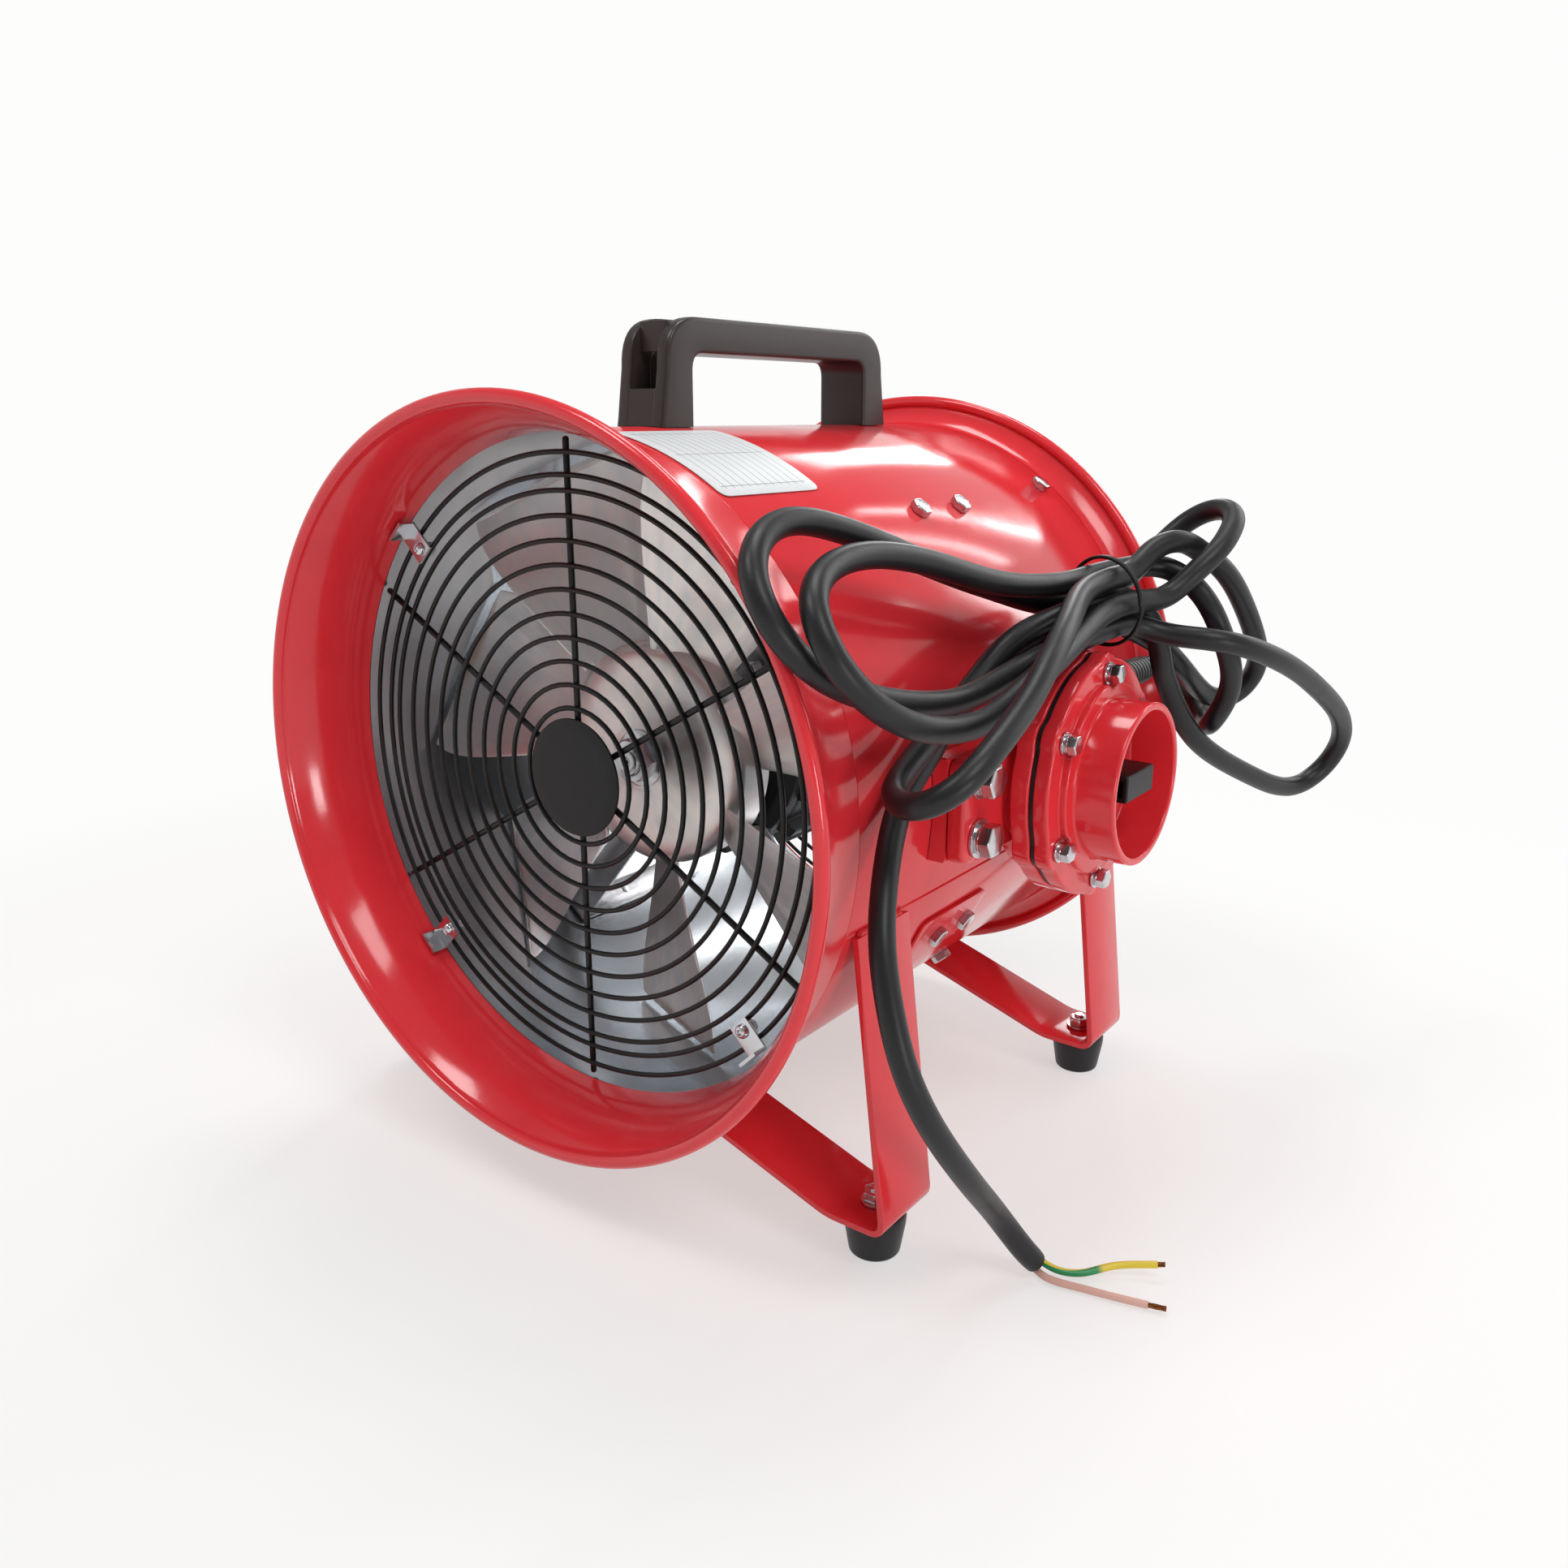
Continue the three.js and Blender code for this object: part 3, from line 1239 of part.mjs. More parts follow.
/**
 * The least clear distance between two strands of the tube, measured on points along its straight
 * steps.
 */
function leastGap(path) {
  const corners = path.getSpacedPoints(cord.steps);
  const shares = Array.from({ length: easing.sampleCount }, (_, i) => i / easing.sampleCount);
  const points = corners.slice(0, -1).flatMap(
    (corner, i) => shares.map((share) => corner.clone().lerp(corners[i + 1], share)),
  );
  const apart = Math.ceil((easing.neighbourCount * easing.spacing * points.length) / path.getLength());
  let least = Infinity;
  points.forEach((point, i) => {
    for (let j = i + apart; j < points.length; j += 1) {
      least = Math.min(least, point.distanceTo(points[j]));
    }
  });
  return least - cord.diameter;
}

function cordPieces() {
  const line = settledCord();
  const { tube, path } = tubeAlong(line, cord.diameter / 2, cord.sides, cord.steps);
  const length = path.getLength().toFixed(0);
  console.log(`power cord: ${length} mm long, least gap to itself ${leastGap(path).toFixed(2)} mm`);
  const held = line.map((point) => point.clone().sub(tieCentre)).filter(
    (offset) => offset.length() < 2 * tie.spread,
  );
  const crossing = held.filter((offset) => Math.abs(offset.dot(tieAlong)) < easing.spacing);
  const reach = Math.max(...crossing.map((offset) => offset.cross(tieAlong).length()));
  const tieRadius = (reach + cord.diameter / 2 + gap.seat) / Math.cos(Math.PI / tie.sides) + tie.wire;
  const hoop = new THREE.TorusGeometry(tieRadius, tie.wire, facets.spoke, tie.sides);
  hoop.applyQuaternion(new THREE.Quaternion().setFromUnitVectors(new THREE.Vector3(0, 0, 1), tieAlong));
  hoop.translate(tieCentre.x, tieCentre.y, tieCentre.z);
  return [
    piece('power_cord', tube, finishes.rubber),
    piece('cord_tie', solid(hoop), finishes.blackPlastic),
    ...cores(path),
  ];
}

/** The two insulated cores that leave the cord's bare end. */
function cores(path) {
  const end = path.getPoint(1);
  const forwards = path.getTangent(1);
  const upwards = new THREE.Vector3(0, 0, 1).addScaledVector(forwards, -forwards.z).normalize();
  const materials = { core_green_yellow: finishes.green, core_pink: finishes.pink };
  return Object.entries(corePoints).map(([name, points], i) => {
    const start = end.clone().addScaledVector(upwards, i === 0 ? core.offset : -core.offset);
    const leads = [core.start, core.start + core.straight].map(
      (along) => start.clone().addScaledVector(forwards, along),
    );
    const { tube } = tubeAlong([...leads, ...points.map(vector)], core.radius, core.sides, core.steps);
    return piece(name, tube, materials[name]);
  });
}

// Assembly

function assembly() {
  const axis = new THREE.Group();
  axis.position.z = axisHeight;
  axis.add(
    inletBell(), barrelShell(), outletRim(), lapPlatePiece(), ...inletGrillePieces(), ...inletClips(),
    outletGrillePiece(), fanWheel(), ...shaftPieces(), rotorCorePiece(), ...statorPieces(),
    motorHousing(), ...motorCaps(), ...bearings(),
    ...motorBrackets(), carryHandle(), ...handleScrews(), ratingLabel(),
  );
  const switchGroup = new THREE.Group();
  switchGroup.position.set(0, box.along, axisHeight);
  switchGroup.rotation.z = -Math.PI / 2;
  switchGroup.add(
    switchSaddle(), switchBody(), switchGasket(), switchCover(), ...boxBolts(), switchKnob(),
    ...switchInside(), ...glandPieces(),
  );
  const blower = new THREE.Group();
  blower.add(axis, switchGroup, ...stands(), ...feet(), ...cordPieces());
  const right = coverFace + cover.collar;
  blower.position.set((Math.max(bell.rimRadius, outlet.rimRadius) - right) / 2, -casingLength / 2, 0);
  return new THREE.Group().add(blower);
}

export default assembly();
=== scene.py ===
import logging
from dataclasses import dataclass, field, replace
from enum import Enum

import bpy
import numpy as np
from mathutils import Matrix


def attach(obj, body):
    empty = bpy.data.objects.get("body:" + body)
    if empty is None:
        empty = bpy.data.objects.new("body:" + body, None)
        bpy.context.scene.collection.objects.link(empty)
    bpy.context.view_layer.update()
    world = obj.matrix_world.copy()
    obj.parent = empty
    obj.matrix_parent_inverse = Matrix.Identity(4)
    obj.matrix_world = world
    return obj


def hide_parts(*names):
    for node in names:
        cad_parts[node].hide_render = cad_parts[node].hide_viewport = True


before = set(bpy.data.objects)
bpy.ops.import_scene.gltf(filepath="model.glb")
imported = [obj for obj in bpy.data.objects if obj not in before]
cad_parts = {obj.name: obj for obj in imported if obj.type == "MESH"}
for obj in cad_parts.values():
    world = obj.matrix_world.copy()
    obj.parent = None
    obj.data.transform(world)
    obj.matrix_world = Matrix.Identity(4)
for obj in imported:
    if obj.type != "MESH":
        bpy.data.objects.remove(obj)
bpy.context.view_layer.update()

# Portable ventilation blower. Every size below is in millimetres about the foot of the fan axis at the
# bell's mouth, as in the part's source, and is moved and scaled to the row frame when a mesh is written.

Array = np.ndarray
Pair = tuple[float, float]
Triple = tuple[float, float, float]
Floats = tuple[float, ...]
Piece = bpy.types.Object
Tree = bpy.types.NodeTree
Socket = bpy.types.NodeSocket
Sockets = bpy.types.bpy_prop_collection
MM = 0.001
FULL = 2 * np.pi
AXIS_HEIGHT = 198.3
SHIFT = np.array([-21.85, -168.65, 0.0])
UP = np.array([0.0, 0.0, 1.0])
CASING_SEAT = 153.8
CASING_CLEAR = 151.12
GLAND_ACROSS = 170.0
GLAND_RISE = 33.0
HEX_POINTS = 48
QUARTER = np.pi / 2
SIXTH = np.pi / 3
TINY = 1e-9
LOG = logging.getLogger("blower")


class Ends(Enum):
    """How the first and last ring of a skinned surface are closed."""

    JOINED = "joined"
    CAPPED = "capped"


class Body(Enum):
    """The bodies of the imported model."""

    BLOWER = "blower"
    ROTOR = "fan_rotor"
    LEVER = "switch_lever"


class Pattern(Enum):
    """What a finish draws over its plain colour."""

    PLAIN = "plain"
    LINED = "lined"
    STREAKED = "streaked"
    RULED = "ruled"
    STRIPED = "striped"
    WOUND = "wound"


# Surfaces


@dataclass
class Surface:
    """One closed sheet: points with quads and triangles over them, and a flat coordinate per corner."""

    points: Array
    quads: Array
    triangles: Array
    quad_uv: Array
    triangle_uv: Array

    def outwards(self) -> "Surface":
        """Turns every face over where the signed volume, the sum of triple products, is negative.

        Returns:
            The surface, its faces pointing outwards.
        """
        p, q, t = self.points, self.quads, self.triangles
        a, b, c = np.concatenate([q[:, [0, 1, 2]], q[:, [0, 2, 3]], t]).T
        if np.einsum("ij,ij->", p[a], np.cross(p[b], p[c])) >= 0:
            return self
        return Surface(p, q[:, ::-1], t[:, ::-1], self.quad_uv[:, ::-1], self.triangle_uv[:, ::-1])

    def flat_from(self, flat: Array) -> "Surface":
        """Takes each corner's flat coordinate from its point's own pair."""
        return Surface(self.points, self.quads, self.triangles, flat[self.quads], flat[self.triangles])

    def at(self, points: Array) -> "Surface":
        """The same faces over other points."""
        return Surface(points, self.quads, self.triangles, self.quad_uv, self.triangle_uv)

    def moved(self, x: float, y: float, z: float) -> "Surface":
        """The surface moved by a step along each axis."""
        return self.at(self.points + np.array([x, y, z]))

    def turned_back(self, y: float) -> "Surface":
        """The surface mirrored along Y, so that its own zero comes to a place y."""
        return self.at(self.points * np.array([1.0, -1.0, 1.0]) + np.array([0.0, y, 0.0])).outwards()

    def laid_over(self) -> "Surface":
        """The surface with Y and Z exchanged."""
        return self.at(self.points[:, [0, 2, 1]]).outwards()


@dataclass(frozen=True)
class Place:
    """A turned and moved frame: a point goes to x·side + y·out + z·up + origin."""

    side: Triple
    out: Triple
    up: Triple
    origin: Triple

    def of(self, points: Array) -> Array:
        """Points of the local frame in the working frame."""
        return points @ np.array([self.side, self.out, self.up]) + np.array(self.origin)

    def put(self, surface: Surface) -> Surface:
        """The surface in the working frame."""
        return surface.at(self.of(surface.points))

    def put_all(self, surfaces: list[Surface]) -> list[Surface]:
        """Several surfaces in the working frame."""
        return [self.put(surface) for surface in surfaces]


def round_axis(angle: float) -> Pair:
    """Cosine and sine of an angle in degrees."""
    return np.cos(np.radians(angle)), np.sin(np.radians(angle))


def about_fan(angle: float = 0.0, along: float = 0.0) -> Place:
    """Y stays along the fan axis, and X points away from it at an angle in degrees."""
    c, s = round_axis(angle)
    return Place((c, 0, s), (0, 1, 0), (-s, 0, c), (0, along, AXIS_HEIGHT))


def radial(angle: float, along: float) -> Place:
    """Y points away from the fan axis at an angle in degrees, for screws through the casing."""
    c, s = round_axis(angle)
    return Place((0, -1, 0), (c, 0, s), (-s, 0, c), (0, along, AXIS_HEIGHT))


def upright(x: float, y: float, z: float = 0.0) -> Place:
    """Y points up from a place."""
    return Place((1, 0, 0), (0, 0, 1), (0, -1, 0), (x, y, z))


def forwards(radius: float, angle: float, along: float) -> Place:
    """Y points to the front, from a place at a radius and an angle about the fan axis."""
    c, s = round_axis(angle)
    return Place((-1, 0, 0), (0, -1, 0), (0, 0, 1), (radius * c, along, AXIS_HEIGHT + radius * s))


def rearwards(radius: float, angle: float, along: float) -> Place:
    """Y points to the rear, from a place at a radius and an angle about the fan axis."""
    c, s = round_axis(angle)
    return Place((1, 0, 0), (0, 1, 0), (0, 0, 1), (radius * c, along, AXIS_HEIGHT + radius * s))


def on_gland() -> Place:
    """Y points to the rear along the axis of the switch box's cable gland."""
    return Place((1, 0, 0), (0, 1, 0), (0, 0, 1), (GLAND_ACROSS, 0, AXIS_HEIGHT + GLAND_RISE))


def turns(count: int) -> Array:
    """Even angles of a full turn, from zero."""
    return FULL * np.arange(count) / count


def columns(*values: Array) -> Array:
    """Coordinates side by side along a new last axis."""
    return np.stack(values, axis=-1)


def unit(vectors: Array) -> Array:
    """Vectors along the last axis, brought to a length of one."""
    return vectors / np.linalg.norm(vectors, axis=-1, keepdims=True)


def skin(rows: Array, ends: Ends = Ends.JOINED) -> Surface:
    """Joins rings of points into one closed surface.

    The faces are the quads between neighbouring rings, with the ring's own index wrapped. JOINED also
    wraps the row index, and CAPPED closes each end ring with triangles to its mean point.

    Args:
        rows: (rows, ring, 3) points.
        ends: how the first and last ring are closed.

    Returns:
        The surface, its flat coordinate running along the rows in metres and round the ring from 0 to 1.
    """
    count, ring = rows.shape[:2]
    index = np.arange(count * ring).reshape(count, ring)
    nearby = np.roll(index, -1, axis=1)
    steps = np.linalg.norm(np.diff(rows, axis=0), axis=2).mean(axis=1)
    along = np.concatenate([[0.0], np.cumsum(steps), [np.sum(steps)]]) * MM
    if ends is Ends.JOINED:
        corners = [index, nearby, np.roll(nearby, -1, axis=0), np.roll(index, -1, axis=0)]
        levels = count
    else:
        corners = [index[:-1], nearby[:-1], nearby[1:], index[1:]]
        levels = count - 1
    quads = np.stack(corners, axis=-1).reshape(-1, 4)
    u0, v0 = np.meshgrid(along[:levels], np.arange(ring) / ring, indexing="ij")
    u1 = np.broadcast_to(along[1:levels + 1, None], u0.shape)
    v1 = v0 + 1 / ring
    flat = np.stack(
        [columns(u0, v0), columns(u0, v1), columns(u1, v1), columns(u1, v0)],
        axis=-2,
    ).reshape(-1, 4, 2)
    points = rows.reshape(-1, 3)
    if ends is Ends.JOINED:
        empty = np.zeros((0, 3), int)
        return Surface(points, quads, empty, flat, np.zeros((0, 3, 2))).outwards()
    first, last = count * ring, count * ring + 1
    points = np.vstack([points, rows[0].mean(axis=0), rows[-1].mean(axis=0)])
    start = columns(nearby[0], index[0], np.full(ring, first))
    stop = columns(index[-1], nearby[-1], np.full(ring, last))
    triangles = np.concatenate([start, stop])
    share = np.arange(ring) / ring
    fan = np.stack([columns(np.zeros(ring), share)] * 3, axis=-2)
    fan[:, 2, 0] = -MM
    end = fan + np.array([along[-1], 0.0])
    return Surface(points, quads, triangles, flat, np.concatenate([fan, end])).outwards()


def fillet(corners: Array, radius: float | Array, steps: int = 4, closed: bool = True) -> Array:
    """Rounds a polygon's corners.

    Each corner becomes a quadratic curve whose handles are the corner and the two points one radius,
    or at most 0.45 of the side, away along its sides.

    Args:
        corners: (..., corners, axes) points.
        radius: one radius, or one for each corner.
        steps: pieces of each curve.
        closed: False leaves the first and last point as they are.

    Returns:
        (..., points, axes) rounded points.
    """
    size = np.broadcast_to(np.asarray(radius, float), corners.shape[-2:-1])[:, None]
    handles = []
    for way in (1, -1):
        side = np.roll(corners, way, axis=-2) - corners
        length = np.maximum(np.linalg.norm(side, axis=-1, keepdims=True), TINY)
        handles.append(corners + side / length * np.minimum(size, 0.45 * length))
    before, after = handles
    t = np.linspace(0, 1, steps + 1)[:, None]
    curve = (
        (1 - t) ** 2 * before[..., None, :] + 2 * t * (1 - t) * corners[..., None, :]
        + t ** 2 * after[..., None, :]
    )
    if closed:
        return curve.reshape(*corners.shape[:-2], -1, corners.shape[-1])
    middle = curve[..., 1:-1, :, :].reshape(*corners.shape[:-2], -1, corners.shape[-1])
    return np.concatenate([corners[..., :1, :], middle, corners[..., -1:, :]], axis=-2)


def resample(line: Array, spacing: float) -> Array:
    """Points along an open line, its own points kept: each side is cut in ceil(length / spacing) pieces.

    Args:
        line: (points, axes).
        spacing: longest step.

    Returns:
        (points, axes).
    """
    lengths = np.linalg.norm(np.diff(line, axis=0), axis=1)
    counts = np.maximum(np.ceil(lengths / spacing).astype(int), 1)
    shares = np.concatenate([np.arange(n) / n for n in counts])
    starts = np.repeat(np.arange(len(counts)), counts)
    points = line[starts] + (line[starts + 1] - line[starts]) * shares[:, None]
    return np.vstack([points, line[-1]])


def revolve(profile: Array, segments: int = 64, ends: Ends = Ends.JOINED) -> Surface:
    """Turns a profile about Y: a point (r, y) goes to (r cos a, y, r sin a).

    Args:
        profile: (points, 2) of radius and place along Y, or (segments, points, 2) where they change
            with the angle.
        segments: steps of the angle.
        ends: JOINED for a closed profile, CAPPED for one that starts and ends near the axis.

    Returns:
        The surface.
    """
    angle = turns(segments)
    spun = np.broadcast_to(profile, (segments, *profile.shape[-2:])).swapaxes(0, 1)
    radius, along = spun[..., 0], spun[..., 1]
    return skin(columns(radius * np.cos(angle), along, radius * np.sin(angle)), ends)


def turned(corners: list[Pair], soft: float | list[float], segments: int = 64,
           ends: Ends = Ends.JOINED, steps: int = 4) -> Surface:
    """A turned part from (radius, place along Y) corners, each rounded by its radius in a few steps."""
    profile = fillet(np.array(corners, float), soft, steps, closed=ends is Ends.JOINED)
    return revolve(profile, segments, ends)


def plate(outline: Array, low: float, high: float, soft: float, bend: float = 0.0) -> Surface:
    """A sheet with a rounded rim, flat in the XZ plane or bent round Y.

    Its rings are the outline drawn in towards its middle by a share, from the lower face's middle over
    the rim to the upper face's. A bent one takes X as an arc: (x, y, z) goes to the angle x/bend at the
    radius bend + y.

    Args:
        outline: (points, 2) of X and Z, convex or nearly.
        low: lower face along Y.
        high: upper face along Y.
        soft: rim radius.
        bend: radius of the lower face's cylinder, or 0 for a flat plate.

    Returns:
        The surface, with X and Z in metres from the middle as its flat coordinate.
    """
    middle = (outline.min(axis=0) + outline.max(axis=0)) / 2
    reach = np.linalg.norm(outline - middle, axis=1).max()
    turn = np.linspace(0, QUARTER, 4)
    rim = 1 - soft * (1 - np.sin(turn)) / reach
    lift = soft * (1 - np.cos(turn))
    inner = np.array([0.06, 0.3, 0.55, 0.8])
    shares = np.concatenate([inner * rim[0], rim, rim[::-1], inner[::-1] * rim[0]])
    heights = np.concatenate([
        np.full(len(inner), low), low + lift, (high - lift)[::-1], np.full(len(inner), high),
    ])
    plan = middle + (outline - middle) * shares[:, None, None]
    height = np.broadcast_to(heights[:, None], plan.shape[:2])
    rows = columns(plan[..., 0], height, plan[..., 1])
    surface = skin(rows, Ends.CAPPED)
    surface = surface.flat_from(surface.points[:, [0, 2]] * MM)
    if bend:
        angle, radius = surface.points[:, 0] / bend, bend + surface.points[:, 1]
        surface = surface.at(np.stack(
            [radius * np.cos(angle), surface.points[:, 2], radius * np.sin(angle)], axis=-1))
    return surface.outwards()


def rectangle(width: float, height: float, corner: float, steps: int = 5) -> Array:
    """Outline of a rectangle about zero with rounded corners."""
    corners = np.array([[-1, -1], [1, -1], [1, 1], [-1, 1]]) * np.array([width, height]) / 2
    return fillet(corners, corner, steps)


def long_box(width: float, height: float, corner: float, steps: int = 6) -> Array:
    """Such a rectangle with points along its sides."""
    outline = rectangle(width, height, corner, steps)
    return resample(np.vstack([outline, outline[:1]]), 2.5)[:-1]


def carry(path: Array, section: Array) -> Surface:
    """Carries a section along a path, with frames that follow the path without twisting.

    Each frame's side is the last one's with its part along the new tangent taken away, and a section
    point (a, b) goes to path + a·side + b·(tangent × side).

    Args:
        path: (points, 3).
        section: (ring, 2), or (points, ring, 2) where it changes.

    Returns:
        The surface.
    """
    tangent = unit(np.gradient(path, axis=0))
    side = np.zeros_like(path)
    start = np.eye(3)[np.argmin(np.abs(tangent[0]))]
    for i, run in enumerate(tangent):
        side[i] = start = unit(start - run * np.dot(start, run))
    over = np.cross(tangent, side)
    section = np.broadcast_to(section, (len(path), *section.shape[-2:]))
    rows = path[:, None] + section[..., :1] * side[:, None] + section[..., 1:] * over[:, None]
    return skin(rows, Ends.CAPPED)


def circle(radius: float | Array, sides: int) -> Array:
    """Points of a circle, or of one circle for each radius."""
    angle = turns(sides)
    return np.asarray(radius, float)[..., None, None] * columns(np.cos(angle), np.sin(angle))


def rod(start: Array, stop: Array, radius: float) -> Surface:
    """A straight wire with rounded ends: its radius rises as a quarter circle from each end.

    Args:
        start: middle of one end.
        stop: middle of the other end.
        radius: of the wire.

    Returns:
        The surface.
    """
    length = np.linalg.norm(stop - start)
    first_turn = 0.25
    reach = radius - radius * np.cos(np.linspace(0, QUARTER, 5))
    swell = radius * np.sin(np.linspace(first_turn, QUARTER, 5))
    along = np.concatenate([reach, [length / 2], length - reach[::-1]])
    size = np.concatenate([swell, [radius], swell[::-1]])
    path = start + (stop - start) * (along / length)[:, None]
    return carry(path, circle(size, 12))


def bent_bar(line: list[Pair], thickness: float, half: float, bend: float,
             spacing: float = 6.0, soft: float = 0.4) -> Surface:
    """A flat bar bent along a line in the XZ plane, its width across Y.

    The line is the bar's left face. Each station has the line's own normal, to the right of its run,
    and a rounded rectangle of thickness by width across it.

    Args:
        line: (x, z) points of the left face.
        thickness: of the bar.
        half: half its width.
        bend: radius of its bends.
        spacing: longest step along it.
        soft: radius of its edges.

    Returns:
        The surface.
    """
    path = resample(fillet(np.array(line, float), bend, 6, closed=False), spacing)
    run = unit(np.gradient(path, axis=0))
    normal = columns(run[:, 1], -run[:, 0])
    corners = np.array([[0, -half], [0, half], [thickness, half], [thickness, -half]], float)
    section = fillet(corners, soft, 2)
    rows = path[:, None] + normal[:, None] * section[None, :, :1]
    across = np.broadcast_to(section[:, 1], rows.shape[:2])
    return skin(columns(rows[..., 0], across, rows[..., 1]), Ends.CAPPED)


def levelled(levels: list[tuple[float | Array, float | Array]], count: int) -> Array:
    """One profile for each of a count of angles, from corners of one value or an array of them each."""
    return np.stack([
        columns(*(np.broadcast_to(np.asarray(value, float), count) for value in level)) for level in levels
    ], axis=1)


def hexagon(radius: float) -> Array:
    """A hexagon's distance from its middle at each angle: R cos 30° / cos(a mod 60° − 30°)."""
    angle = turns(HEX_POINTS)
    return radius * np.cos(SIXTH / 2) / np.cos(angle % SIXTH - SIXTH / 2)


def hex_head(radius: float, low: float, high: float) -> Surface:
    """A hexagonal head with a turned chamfer: over it, the smaller of the hexagon and a circle.

    Args:
        radius: over the corners.
        low: seat along Y.
        high: top along Y.

    Returns:
        The surface.
    """
    outline = hexagon(radius)
    shares = [(0.9, 0.0), (1.0, 0.04), (1.0, 0.8), (0.965, 0.9), (0.9, 0.97), (0.8, 1.0)]
    levels = [
        (np.minimum(outline * min(1.0, share + 0.03), radius * share) if share < 1 else outline,
         low + lift * (high - low))
        for share, lift in shares
    ]
    return revolve(levelled(levels, HEX_POINTS), HEX_POINTS, Ends.CAPPED)


def hex_nut(radius: float, bore: float, chamfered: list[Pair], turned_end: tuple[Pair, ...] = ()) -> Surface:
    """A bored nut: the hexagon cut off by a circle at each chamfered level, then a turned end.

    Args:
        radius: over the corners.
        bore: radius of its hole.
        chamfered: (share of the radius that the circle has, place along Y).
        turned_end: (radius, place along Y) of the round corners after them.

    Returns:
        The surface.
    """
    outline = hexagon(radius)
    sides = [(np.minimum(outline, radius * share), y) for share, y in chamfered]
    first, last = chamfered[0][1], (turned_end or chamfered)[-1][1]
    profile = levelled([(bore, first), *sides, *turned_end, (bore, last)], HEX_POINTS)
    return revolve(profile, HEX_POINTS)


def disc(radius: float, low: float, high: float, soft: float = 0.25, segments: int = 32) -> Surface:
    """A solid round plate with rounded edges, along Y."""
    corners = [(radius * 0.05, low), (radius, low), (radius, high), (radius * 0.05, high)]
    return turned(corners, soft, segments, Ends.CAPPED, 3)


def bolt(radius: float, head: float, head_height: float, length: float, washer: float = 0.0,
         washer_height: float = 0.0) -> list[Surface]:
    """A hexagon bolt along Y whose seat is at zero: shank, flat washer, split washer and head.

    Args:
        radius: of the shank.
        head: radius over the head's corners.
        head_height: of the head.
        length: of the shank below the seat.
        washer: radius of the flat washer, or 0 for none.
        washer_height: of both washers together.

    Returns:
        The surfaces.
    """
    parts = [disc(radius, -length, washer_height + head_height / 2, 0.4, 20)]
    if washer:
        flat = washer_height * 0.42
        parts.append(disc(washer, 0, flat, 0.2))
        parts.append(disc(radius + (washer - radius) * 0.62, flat, washer_height, 0.25))
    parts.append(hex_head(head, washer_height, washer_height + head_height))
    return parts


def pan_screw(head: float, height: float, radius: float, length: float) -> list[Surface]:
    """A round-headed screw along Y with a turned recess in its head, seated at zero.

    Args:
        head: radius of the head.
        height: of the head.
        radius: of the shank.
        length: of the shank.

    Returns:
        Head and shank.
    """
    dome = [
        (0.9, 0.0), (1.0, 0.12), (0.97, 0.45), (0.8, 0.8), (0.5, 1.0), (0.4, 1.0), (0.33, 0.6), (0.05, 0.5),
    ]
    crown = revolve(fillet(np.array(dome) * [head, height], 0.3, 2, closed=False), 28, Ends.CAPPED)
    return [crown, disc(radius, -length, height * 0.3, 0.2, 16)]


def weld_bead(path: Array, radius: float, seed: int) -> Surface:
    """A bead of weld: a wire whose radius swells every few millimetres and a little at random.

    Args:
        path: (points, 3).
        radius: mean radius.
        seed: of the random draw.

    Returns:
        The surface.
    """
    line = resample(path, 0.8)
    run = np.arange(len(line)) * 0.8
    draw = np.random.default_rng(seed).normal(0, 0.04, len(line))
    size = radius * (1 + 0.14 * np.sin(FULL * run / 3.4) + draw)
    size[[0, -1]] = radius * 0.3
    size[[1, -2]] = radius * 0.8
    return carry(line, circle(size, 10))


# Finishes


